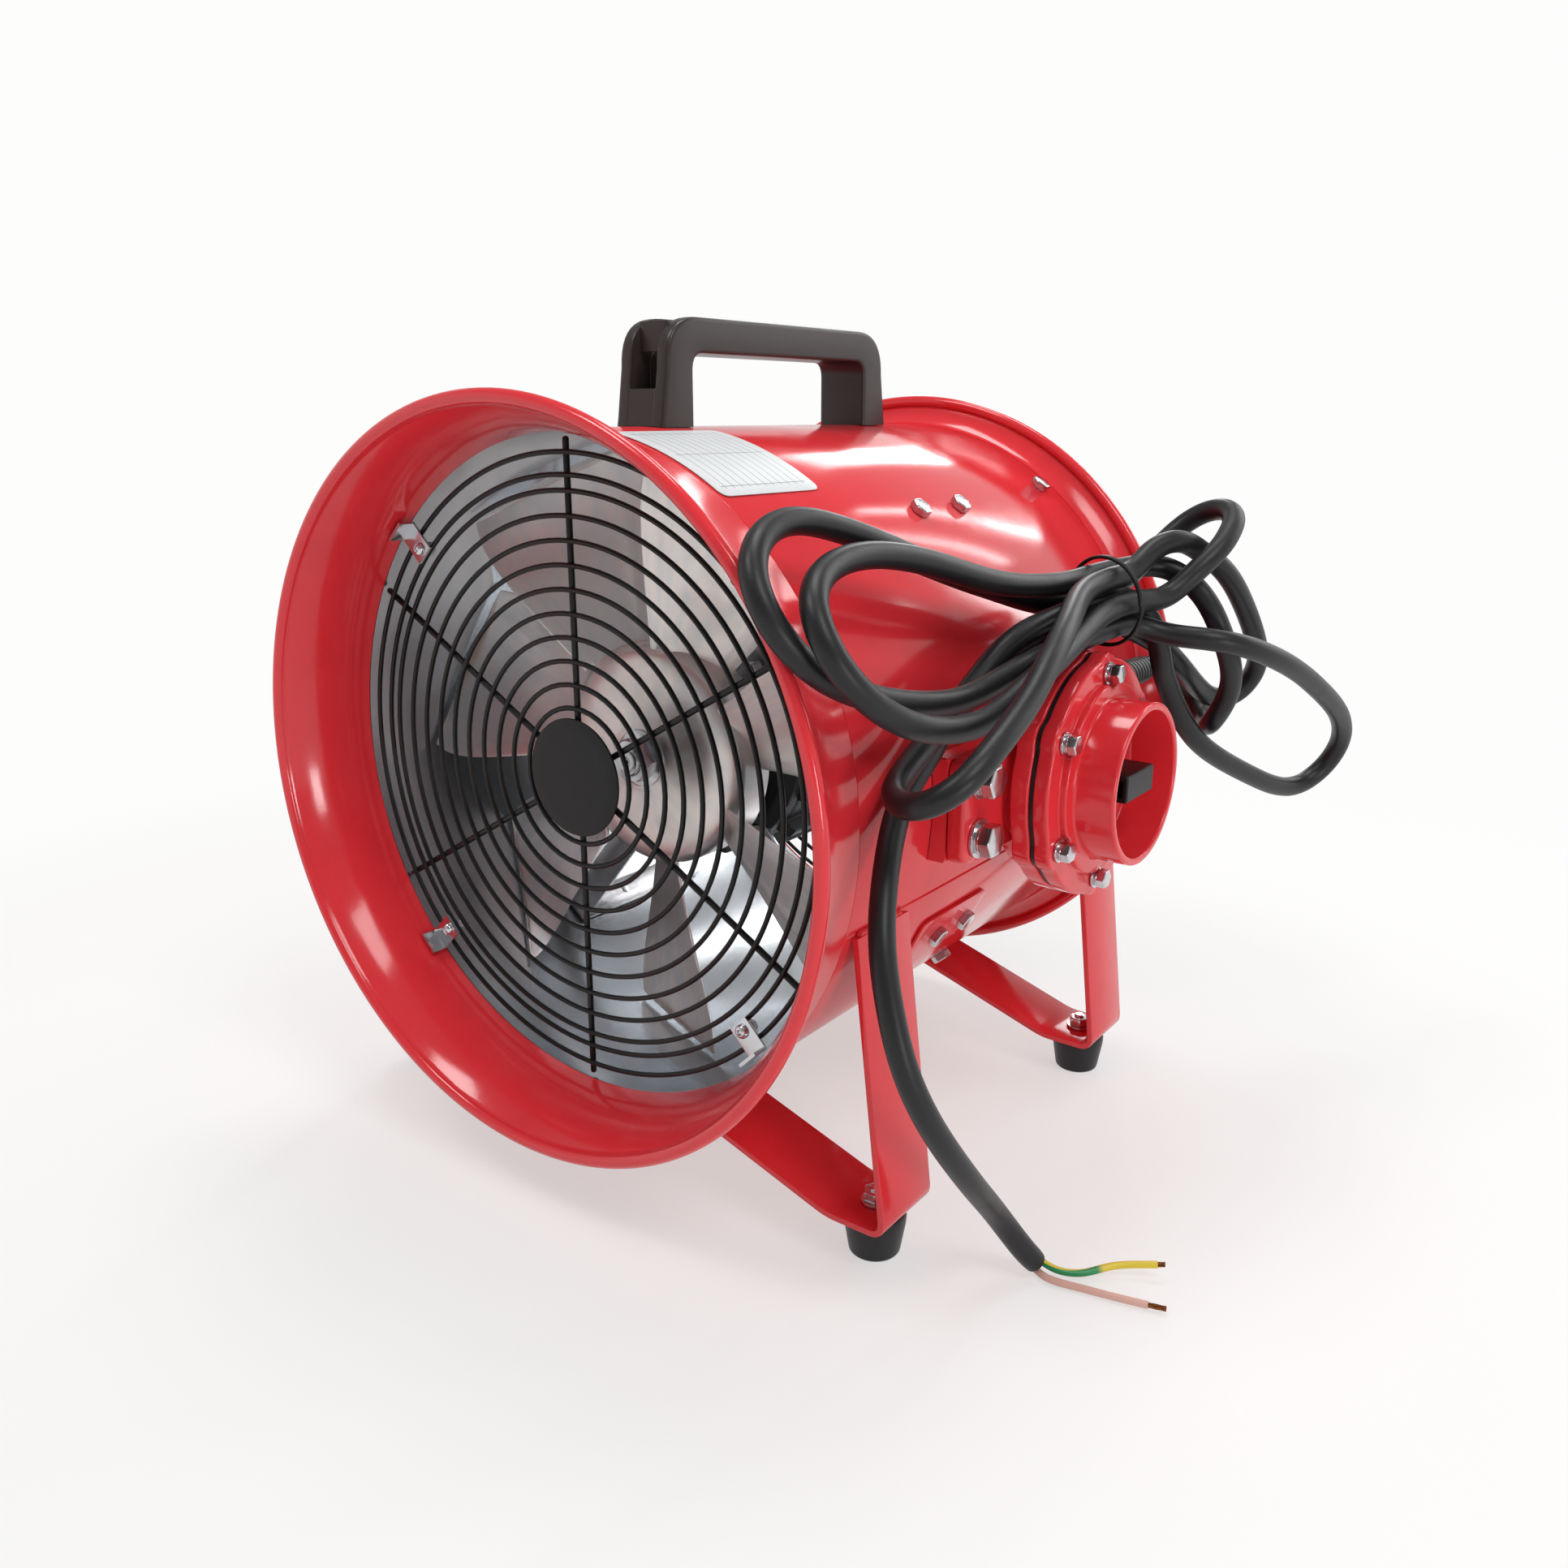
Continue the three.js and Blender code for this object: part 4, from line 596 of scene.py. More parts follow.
class Shader:
    """Writes nodes into one tree."""

    def __init__(self, tree: Tree) -> None:
        """Keeps the tree."""
        self.tree = tree

    @classmethod
    def blank(cls, owner: bpy.types.Material | bpy.types.World) -> "Shader":
        """A writer on a new material's or world's emptied tree.

        Args:
            owner: the material or world.

        Returns:
            The writer.
        """
        owner.use_nodes = True
        owner.node_tree.nodes.clear()
        return cls(owner.node_tree)

    def node(self, kind: str, inputs: dict[str | int, object] | None = None,
             **settings: object) -> bpy.types.Node:
        """Adds a node.

        Args:
            kind: its type without the leading word.
            inputs: values, or sockets to link, by input name or number.
            **settings: its own properties.

        Returns:
            The node.
        """
        made = self.tree.nodes.new(kind)
        for name, value in settings.items():
            setattr(made, name, value)
        for key, value in (inputs or {}).items():
            if isinstance(value, Socket):
                self.tree.links.new(value, made.inputs[key])
            else:
                made.inputs[key].default_value = value
        return made

    def math(self, operation: str, *values: object) -> Socket:
        """A Math node's result."""
        return self.node("ShaderNodeMath", dict(enumerate(values)), operation=operation).outputs[0]

    def times(self, first: object, second: object) -> Socket:
        """The product of two values."""
        return self.math("MULTIPLY", first, second)

    def blend(self, factor: object, first: object, second: object) -> Socket:
        """A colour between two."""
        return self.node("ShaderNodeMix", {0: factor, 6: first, 7: second}, data_type="RGBA").outputs[2]

    def band(self, value: object, low: float, high: float) -> Socket:
        """0 below low, 1 above high, and a smooth step between."""
        inputs = {"Value": value, "From Min": low, "From Max": high}
        return self.node("ShaderNodeMapRange", inputs, interpolation_type="SMOOTHSTEP").outputs[0]

    def noise(self, place: object, scale: object, detail: float = 2.0, roughness: float = 0.5) -> Socket:
        """Layered noise between 0 and 1."""
        inputs = {"Vector": place, "Scale": scale, "Detail": detail, "Roughness": roughness}
        return self.node("ShaderNodeTexNoise", inputs).outputs[0]

    def bump(self, height: object, distance: object, normal: object) -> Socket:
        """The normal of a relief laid on another normal."""
        inputs = {"Height": height, "Distance": distance, "Normal": normal}
        return self.node("ShaderNodeBump", inputs).outputs[0]

    def stretch(self, place: object, scale: Triple) -> Socket:
        """A coordinate scaled along its axes."""
        return self.node("ShaderNodeMapping", {"Vector": place, "Scale": scale}).outputs[0]

    def axes(self, vector: object) -> Sockets:
        """A vector's X, Y and Z."""
        return self.node("ShaderNodeSeparateXYZ", {0: vector}).outputs

    def group(self, tree: Tree, inputs: dict[str, object]) -> Sockets:
        """The outputs of a shader group placed with its values."""
        return self.node("ShaderNodeGroup", inputs, node_tree=tree).outputs


def new_group(name: str, inputs: dict[str, float], outputs: tuple[str, ...]) -> tuple[Shader, Sockets]:
    """An empty shader group; its sockets named Vector and Normal are vectors, the others numbers.

    Args:
        name: of the group.
        inputs: default by name, which vectors don't use.
        outputs: names.

    Returns:
        The writer, and the sockets that its inputs arrive at.
    """
    tree = bpy.data.node_groups.new(name, "ShaderNodeTree")
    sides = [(label, "INPUT") for label in inputs] + [(label, "OUTPUT") for label in outputs]
    for label, side in sides:
        kind = "NodeSocketVector" if label in ("Vector", "Normal") else "NodeSocketFloat"
        socket = tree.interface.new_socket(label, in_out=side, socket_type=kind)
        if side == "INPUT" and kind == "NodeSocketFloat":
            socket.default_value = inputs[label]
    write = Shader(tree)
    return write, write.node("NodeGroupInput").outputs


def grain_group() -> Tree:
    """Fine relief and its mask: layered noise at a scale, raised by a depth on the normal it is given.

    Returns:
        The group.
    """
    write, given = new_group(
        "surface_grain", {"Vector": 0, "Scale": 900, "Depth": 1, "Normal": 0}, ("Mask", "Normal"))
    cloud = write.noise(given["Vector"], given["Scale"], 3.0, 0.55)
    relief = write.bump(cloud, given["Depth"], given["Normal"])
    write.node("NodeGroupOutput", {"Mask": cloud, "Normal": relief})
    return write.tree


def wave_group() -> Tree:
    """Long hand-rolled waves of sheet metal: smooth noise drawn out along the fan axis, as relief.

    Returns:
        The group.
    """
    write, given = new_group(
        "rolled_waves", {"Vector": 0, "Scale": 10, "Depth": 1, "Normal": 0}, ("Normal",))
    cloud = write.noise(write.stretch(given["Vector"], (1.0, 0.35, 1.0)), given["Scale"], 1.0, 0.3)
    write.node("NodeGroupOutput", {"Normal": write.bump(cloud, given["Depth"], given["Normal"])})
    return write.tree


def patch_group() -> Tree:
    """Soft-edged patches: noise cut off at a level.

    Returns:
        The group.
    """
    write, given = new_group("handling_marks", {"Vector": 0, "Scale": 30, "Level": 0.5}, ("Mask",))
    cloud = write.noise(given["Vector"], given["Scale"], 6.0, 0.65)
    over = write.math("SUBTRACT", cloud, given["Level"])
    write.node("NodeGroupOutput", {"Mask": write.band(over, 0.0, 0.14)})
    return write.tree


def dust_group() -> Tree:
    """Settled dust: more where the surface faces up, broken by noise.

    Returns:
        The group.
    """
    write, given = new_group("settled_dust", {"Vector": 0, "Amount": 0.1}, ("Mask",))
    facing = write.axes(write.node("ShaderNodeNewGeometry").outputs["Normal"])["Z"]
    cloud = write.noise(given["Vector"], 60.0, 8.0, 0.7)
    spread = write.times(write.band(facing, 0.2, 1.0), write.band(cloud, 0.35, 0.75))
    write.node("NodeGroupOutput", {"Mask": write.times(spread, given["Amount"])})
    return write.tree


GRAIN, WAVES, MARKS, DUST = grain_group(), wave_group(), patch_group(), dust_group()
MARK_SCALE, MARK_LEVEL = 26.0, 0.52
DUST_COLOR = (0.45, 0.42, 0.38, 1.0)
BARE_STEEL, BARE_ROUGHNESS = (0.58, 0.605, 0.635, 1.0), 0.24
SHEET_MIDDLE = 0.15245
PALE_CASTING = (0.78, 0.77, 0.77, 1.0)
RULE_INK = (0.1, 0.1, 0.12, 1.0)
YELLOW = (0.78, 0.62, 0.05, 1.0)
WIRE_SHADOW = (0.16, 0.05, 0.015, 1.0)


@dataclass
class Coat:
    """A finish while it is drawn: its writer and coordinates, and what a pattern may change."""

    write: Shader
    given: Sockets
    color: object
    rough: object
    metal: object
    height: object = None

    def lined(self) -> None:
        """Bare steel inside the barrel: √(x² + z²) from the fan axis under the middle of the sheet."""
        write, split = self.write, self.write.axes(self.given["Object"])
        across = write.math("SUBTRACT", split["X"], float(SHIFT[0]) * MM)
        over = write.math("SUBTRACT", split["Z"], AXIS_HEIGHT * MM)
        squares = [write.times(part, part) for part in (across, over)]
        self.metal = write.math("LESS_THAN", write.math("SQRT", write.math("ADD", *squares)), SHEET_MIDDLE)
        self.color = write.blend(self.metal, self.color, BARE_STEEL)
        mix = write.node("ShaderNodeMix", {0: self.metal, 2: self.rough, 3: BARE_ROUGHNESS})
        self.rough = mix.outputs[0]

    def streaked(self) -> None:
        """Paler, rougher streaks along a casting: noise on its own plan, drawn out."""
        write = self.write
        streak = write.noise(write.stretch(self.given["UV"], (14.0, 9.0, 1.0)), 3.0, 5.0)
        band = write.band(streak, 0.32, 0.72)
        self.color = write.blend(band, self.color, PALE_CASTING)
        self.rough = write.math("ADD", self.rough, write.times(band, 0.08))

    def ruled(self) -> None:
        """Bare ruled rows of a blank form, inside a margin of the label's own plan."""
        write, plan = self.write, self.given["UV"]
        rows = write.node("ShaderNodeTexBrick", {
            "Vector": plan, "Color1": (0, 0, 0, 1), "Color2": (0, 0, 0, 1), "Mortar": (1, 1, 1, 1),
            "Scale": 1.0, "Mortar Size": 0.00022, "Mortar Smooth": 0.2, "Brick Width": 0.026,
            "Row Height": 0.0052,
        }, offset=0.0)
        split = write.axes(plan)
        margins = [write.math("LESS_THAN", write.math("ABSOLUTE", split[axis]), half)
                   for axis, half in (("X", 0.0275), ("Y", 0.0285))]
        line = write.times(write.times(*margins), rows.outputs["Fac"])
        self.color = write.blend(write.times(line, 0.9), self.color, RULE_INK)

    def striped(self) -> None:
        """A yellow stripe that winds round a core, and yellow all round its last length."""
        write, split = self.write, self.write.axes(self.given["UV"])
        spin = write.math("FRACT", write.math("ADD", split["Y"], write.times(split["X"], 9.0)))
        stripe = write.band(write.math("ABSOLUTE", write.math("SUBTRACT", spin, 0.5)), 0.39, 0.41)
        far = write.band(split["X"], 0.027, 0.031)
        self.color = write.blend(write.math("MAXIMUM", stripe, far), self.color, YELLOW)

    def wound(self) -> None:
        """Side-by-side wires: a sine across them as relief, dark between them."""
        write, split = self.write, self.write.axes(self.given["UV"])
        self.height = write.math("SINE", write.times(split["Y"], 1400.0))
        self.color = write.blend(write.band(self.height, -0.9, 0.2), WIRE_SHADOW, self.color)


@dataclass(frozen=True)
class Finish:
    """A finish and how it is drawn; depths are in metres and scales in waves per metre."""

    name: str
    color: Triple
    roughness: float
    rough_spread: float = 0.06
    metallic: float = 0.0
    specular: float = 0.5
    grain_scale: float = 1400.0
    grain_depth: float = 0.00002
    wave_scale: float = 20.0
    wave_depth: float = 0.0
    mark_color: Triple | None = None
    mark_share: float = 0.5
    dust: float = 0.05
    pattern: Pattern = Pattern.PLAIN
    slot: str = ""

    def material(self) -> bpy.types.Material:
        """The material, made once."""
        known = bpy.data.materials.get(f"{self.name}_finish")
        return known if known else self.write()

    def write(self) -> bpy.types.Material:
        """Builds the nodes: colour with marks and dust, roughness by the grain, waves and grain as relief.

        Returns:
            The new material.
        """
        made = bpy.data.materials.new(f"{self.name}_finish")
        write = Shader.blank(made)
        given = write.node("ShaderNodeTexCoord").outputs
        place = given["Object"]
        marks = write.group(MARKS, {"Vector": place, "Scale": MARK_SCALE, "Level": MARK_LEVEL})["Mask"]
        tone = tuple(self.mark_color or [v * 0.8 for v in self.color])
        share = write.times(marks, self.mark_share)
        color = write.blend(share, (*self.color, 1.0), (*tone, 1.0))
        normal = write.node("ShaderNodeNewGeometry").outputs["Normal"]
        if self.wave_depth:
            inputs = {"Vector": place, "Scale": self.wave_scale, "Depth": self.wave_depth, "Normal": normal}
            normal = write.group(WAVES, inputs)["Normal"]
        inputs = {"Vector": place, "Scale": self.grain_scale, "Depth": self.grain_depth, "Normal": normal}
        fine = write.group(GRAIN, inputs)
        rough = write.math("ADD", self.roughness - self.rough_spread / 2,
                           write.times(fine["Mask"], self.rough_spread))
        rough = write.math("ADD", rough, write.times(marks, self.rough_spread))
        coat = Coat(write, given, color, rough, self.metallic)
        drawn = {Pattern.LINED: coat.lined, Pattern.STREAKED: coat.streaked, Pattern.RULED: coat.ruled,
                 Pattern.STRIPED: coat.striped, Pattern.WOUND: coat.wound}
        if self.pattern in drawn:
            drawn[self.pattern]()
        dust = write.group(DUST, {"Vector": place, "Amount": self.dust})["Mask"]
        relief = fine["Normal"]
        if coat.height is not None:
            relief = write.bump(coat.height, 0.0003, relief)
        shader = write.node("ShaderNodeBsdfPrincipled", {
            "Base Color": write.blend(dust, coat.color, DUST_COLOR), "Roughness": coat.rough,
            "Metallic": coat.metal, "Normal": relief, "Specular IOR Level": self.specular,
        })
        write.node("ShaderNodeOutputMaterial", {"Surface": shader.outputs[0]})
        return made


ENAMEL = Finish(
    "red_enamel", (0.74, 0.03, 0.04), 0.13, rough_spread=0.05,
    grain_scale=420.0, grain_depth=0.000018, wave_scale=16.0, wave_depth=0.0012,
    mark_color=(0.64, 0.022, 0.03), mark_share=0.35, dust=0.015,
)
BARREL_ENAMEL = replace(
    ENAMEL, name="red_enamel_barrel", roughness=0.12, wave_scale=20.0, wave_depth=0.003,
    pattern=Pattern.LINED, slot="red_enamel",
)
WIRE = Finish(
    "black_wire", (0.005, 0.005, 0.005), 0.3, specular=0.28,
    grain_scale=2500.0, grain_depth=0.00003, mark_color=(0.012, 0.01, 0.009), mark_share=0.6, dust=0.005,
)
HANDLE_PLASTIC = Finish(
    "handle_plastic", (0.034, 0.027, 0.025), 0.32, specular=0.35, grain_scale=2600.0,
    grain_depth=0.00001, mark_color=(0.046, 0.038, 0.035), dust=0.02, slot="black_plastic",
)
BLACK_PLASTIC = Finish(
    "black_plastic", (0.008, 0.0075, 0.0075), 0.4, specular=0.25, grain_scale=3000.0,
    grain_depth=0.00001, mark_color=(0.016, 0.015, 0.015), dust=0.02,
)
ALUMINIUM = Finish(
    "cast_aluminium", (0.9, 0.81, 0.77), 0.34, rough_spread=0.1, metallic=1.0,
    grain_scale=1900.0, grain_depth=0.000006, wave_depth=0.0004,
    mark_color=(0.8, 0.69, 0.64), mark_share=0.4, dust=0.02, pattern=Pattern.STREAKED,
)
ZINC = Finish(
    "zinc_steel", (0.62, 0.62, 0.64), 0.2, rough_spread=0.07, metallic=1.0,
    grain_scale=1800.0, grain_depth=0.000005, mark_color=(0.58, 0.57, 0.54), mark_share=0.3, dust=0.02,
)
CASTING = Finish(
    "motor_casting", (0.045, 0.047, 0.052), 0.5, metallic=0.2, grain_scale=1100.0,
    grain_depth=0.00012, mark_color=(0.08, 0.082, 0.088), dust=0.12,
)
COPPER = Finish(
    "winding_copper", (0.6, 0.22, 0.07), 0.35, metallic=1.0, grain_scale=2600.0,
    mark_color=(0.35, 0.1, 0.03), mark_share=0.4, pattern=Pattern.WOUND,
)
RUBBER = Finish(
    "black_rubber", (0.011, 0.0108, 0.0125), 0.4, rough_spread=0.1, specular=0.36,
    grain_scale=2200.0, grain_depth=0.00001, mark_color=(0.02, 0.02, 0.023), dust=0.02,
)
LABEL = Finish(
    "label_stock", (0.66, 0.68, 0.69), 0.4, specular=0.4, grain_scale=1500.0,
    grain_depth=0.00001, mark_color=(0.6, 0.62, 0.64), mark_share=0.3, pattern=Pattern.RULED,
)
GREEN_YELLOW = Finish(
    "green_yellow_insulation", (0.012, 0.27, 0.085), 0.35, grain_scale=2500.0, mark_share=0.2,
    pattern=Pattern.STRIPED,
)
PINK = Finish(
    "pink_insulation", (0.72, 0.43, 0.36), 0.38, grain_scale=2500.0, mark_color=(0.6, 0.33, 0.27),
    mark_share=0.2,
)


def make_piece(name: str, surfaces: list[Surface], finish: Finish, replaced: tuple[str, ...] = (),
               body: Body = Body.BLOWER, sharp: float = 32.0) -> Piece:
    """Writes surfaces into one mesh in the row frame, parents the piece to its body's empty and hides the
    CAD nodes that it replaces.

    Args:
        name: of the piece.
        surfaces: closed surfaces in working millimetres.
        finish: its finish, whose material the mesh takes.
        replaced: CAD nodes that it stands for.
        body: the body that it rides on.
        sharp: degrees between faces past which an edge stays sharp.

    Returns:
        The object.
    """
    points, faces, flat, offset = [], [], [], 0
    for surface in surfaces:
        points.append(surface.points)
        faces += (surface.quads + offset).tolist() + (surface.triangles + offset).tolist()
        flat += [surface.quad_uv.reshape(-1, 2), surface.triangle_uv.reshape(-1, 2)]
        offset += len(surface.points)
    mesh = bpy.data.meshes.new(name)
    mesh.from_pydata(((np.vstack(points) + SHIFT) * MM).tolist(), [], faces)
    layer = mesh.uv_layers.new(name="plan")
    layer.data.foreach_set("uv", np.concatenate(flat).astype(np.float32).ravel())
    mesh.polygons.foreach_set("use_smooth", np.ones(len(mesh.polygons), bool))
    mesh.set_sharp_from_angle(angle=np.radians(sharp))
    mesh.materials.append(finish.material())
    piece = bpy.data.objects.new(name, mesh)
    bpy.context.scene.collection.objects.link(piece)
    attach(piece, body.value)
    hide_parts(*replaced)
    finish.slot or finish.name
    return piece


# Studio


def set_out(name: str, data: bpy.types.ID, right: Array, back: Array, origin: Array) -> Piece:
    """Links a camera or lamp whose X axis is right, Z axis back and Y axis their cross product.

    Args:
        name: of the object.
        data: its camera or lamp.
        right: unit vector.
        back: unit vector, away from what it looks at.
        origin: its place.

    Returns:
        The object.
    """
    made = bpy.data.objects.new(name, data)
    bpy.context.scene.collection.objects.link(made)
    turn = np.eye(4)
    turn[:3] = columns(right, np.cross(back, right), back, origin)
    made.matrix_world = Matrix(turn.tolist())
    return made


@dataclass
class Studio:
    """The camera at the photograph's angle, the lamps, the pale floor and the world."""

    azimuth: float = 36.7
    elevation: float = 15.9
    focal_pixels: float = 1597.0
    image_pixels: float = 1932.0
    sensor_width: float = 36.0
    distance: float = 0.7469
    target: Triple = (-0.03615, 0.05355, 0.1522)
    lamp_aim: Triple = (0.0, 0.0, 0.2)
    floor_size: float = 30.0
    floor_tones: tuple[Floats, ...] = ((0.86, 0.855, 0.85, 1.0), (0.9, 0.897, 0.89, 1.0))
    fade_reach: Pair = (0.25, 0.9)
    least_fade: float = 0.55
    white: Floats = (0.985, 0.983, 0.978, 1.0)
    dim_white: Floats = (0.27, 0.275, 0.285, 1.0)
    lit_strength: float = 0.34
    lamps: dict[str, tuple[Triple, float, float, float]] = field(default_factory=lambda: {
        "key_softbox": ((1.5, -0.6, 2.1), 0.9, 0.9, 18.0),
        "front_softbox": ((-0.55, -0.9, 2.0), 0.6, 0.5, 10.0),
        "top_softbox": ((-0.2, 0.5, 2.5), 1.0, 0.7, 18.0),
        "right_strip": ((2.0, -0.7, 0.1), 0.35, 0.7, 10.0),
        "rear_strip_left": ((-0.72, 1.95, 1.15), 0.28, 1.2, 6.0),
        "rear_strip_middle": ((0.12, 2.05, 1.35), 0.08, 1.1, 2.4),
        "rear_strip_high": ((0.46, 1.95, 1.55), 0.05, 1.0, 1.8),
        "rear_strip_right": ((0.76, 1.9, 1.25), 0.2, 1.1, 4.5),
        "rear_strip_far": ((1.25, 1.6, 0.9), 0.1, 1.0, 2.2),
    })

    def camera(self) -> None:
        """The photograph's camera: position = target + back · distance, looking at the target."""
        a, e = np.radians(self.azimuth), np.radians(self.elevation)
        back = np.array([np.sin(a) * np.cos(e), -np.cos(a) * np.cos(e), np.sin(e)])
        data = bpy.data.cameras.new("camera")
        data.sensor_width = self.sensor_width
        data.lens = self.sensor_width * self.focal_pixels / self.image_pixels
        data.clip_start = 0.01
        origin = np.array(self.target) + back * self.distance
        right = np.array([np.cos(a), np.sin(a), 0.0])
        bpy.context.scene.camera = set_out("camera", data, right, back, origin)

    def light(self) -> None:
        """Soft boxes of (place, width, height, power), each turned to the object."""
        for name, (place, width, height, power) in self.lamps.items():
            data = bpy.data.lights.new(name, "AREA")
            data.shape, data.size, data.size_y, data.energy = "RECTANGLE", width, height, power
            back = unit(np.array(place) - np.array(self.lamp_aim))
            set_out(name, data, unit(np.cross(UP, back)), back, np.array(place))

    def floor(self) -> None:
        """A pale floor, which fades to the background's white for the camera and in reflections."""
        bpy.ops.mesh.primitive_plane_add(size=self.floor_size)
        floor = bpy.context.object
        floor.name = "studio_floor"
        made = bpy.data.materials.new("pale_floor")
        write = Shader.blank(made)
        place = write.node("ShaderNodeTexCoord").outputs["Object"]
        reach = write.node("ShaderNodeVectorMath", {0: place}, operation="LENGTH").outputs["Value"]
        tone = write.blend(write.noise(place, 1.5), *self.floor_tones)
        near = write.node("ShaderNodeBsdfDiffuse", {"Color": tone}).outputs[0]
        far = write.node("ShaderNodeEmission", {"Color": self.white}).outputs[0]
        path = write.node("ShaderNodeLightPath").outputs
        seen = write.math("MAXIMUM", path["Is Camera Ray"], path["Is Glossy Ray"])
        fade = write.math("MAXIMUM", write.band(reach, *self.fade_reach), self.least_fade)
        mix = write.node("ShaderNodeMixShader", {0: write.times(fade, seen), 1: near, 2: far})
        write.node("ShaderNodeOutputMaterial", {"Surface": mix.outputs[0]})
        floor.data.materials.append(made)

    def world(self) -> None:
        """An even white world, seen darker in reflections from above and from the front."""
        world = bpy.data.worlds.new("studio")
        write = Shader.blank(world)
        path = write.node("ShaderNodeLightPath").outputs
        seen = write.math("MAXIMUM", path["Is Camera Ray"], write.math(
            "MAXIMUM", path["Is Glossy Ray"], path["Is Transmission Ray"]))
        way = write.axes(write.node("ShaderNodeTexCoord").outputs["Generated"])
        front = write.math("SUBTRACT", write.times(way["X"], 0.6),
                           write.times(way["Y"], 0.8))
        dim = write.math("MAXIMUM", write.band(way["Z"], 0.1, 0.75), write.band(front, 0.0, 0.8))
        shade = write.times(dim, write.math("SUBTRACT", 1.0, path["Is Camera Ray"]))
        tone = write.blend(shade, self.white, self.dim_white)
        shown = write.node("ShaderNodeBackground", {"Color": tone, "Strength": 1.0}).outputs[0]
        lit = write.node("ShaderNodeBackground", {
            "Color": (1.0, 1.0, 1.0, 1.0), "Strength": self.lit_strength}).outputs[0]
        mix = write.node("ShaderNodeMixShader", {0: seen, 1: lit, 2: shown}).outputs[0]
        write.node("ShaderNodeOutputWorld", {"Surface": mix})
        bpy.context.scene.world = world
        bpy.context.scene.view_settings.view_transform = "Standard"


# Power cord


class Spline:
    """A centripetal spline: cubic pieces through points, its ends carried straight on."""

    samples: int = 40

    def __init__(self, points: Array) -> None:
        """Works out each piece's four coefficients from its neighbours' distances.

        Args:
            points: (points, 3).
        """
        p = np.vstack([2 * points[0] - points[1], points, 2 * points[-1] - points[-2]])
        gaps = np.sqrt(np.linalg.norm(np.diff(p, axis=0), axis=1))[:, None]
        d0, d1, d2 = gaps[:-2], gaps[1:-1], gaps[2:]
        x0, x1, x2, x3 = p[:-3], p[1:-2], p[2:-1], p[3:]
        t1 = ((x1 - x0) / d0 - (x2 - x0) / (d0 + d1) + (x2 - x1) / d1) * d1
        t2 = ((x2 - x1) / d1 - (x3 - x1) / (d1 + d2) + (x3 - x2) / d2) * d1
        self.terms = (x1, t1, 3 * (x2 - x1) - 2 * t1 - t2, 2 * (x1 - x2) + t1 + t2)
        self.shares = np.linspace(0, 1, len(points) * self.samples + 1)
        steps = np.linalg.norm(np.diff(self.at(self.shares), axis=0), axis=1)
        self.lengths = np.concatenate([[0.0], np.cumsum(steps)])

    def at(self, shares: Array) -> Array:
        """Points of the spline: a + b·w + c·w² + d·w³, with w from 0 to 1 over each piece.

        Args:
            shares: of its own parameter, 0 to 1.

        Returns:
            (shares, 3).
        """
        count = len(self.terms[0])
        scaled = shares * count
        i = np.minimum(scaled.astype(int), count - 1)
        w = (scaled - i)[:, None]
        a, b, c, d = (term[i] for term in self.terms)
        return a + b * w + c * w ** 2 + d * w ** 3

    def spaced(self, pieces: int) -> Array:
        """Points at equal distances along the spline."""
        wanted = np.linspace(0, self.lengths[-1], pieces + 1)
        return self.at(np.interp(wanted, self.lengths, self.shares))


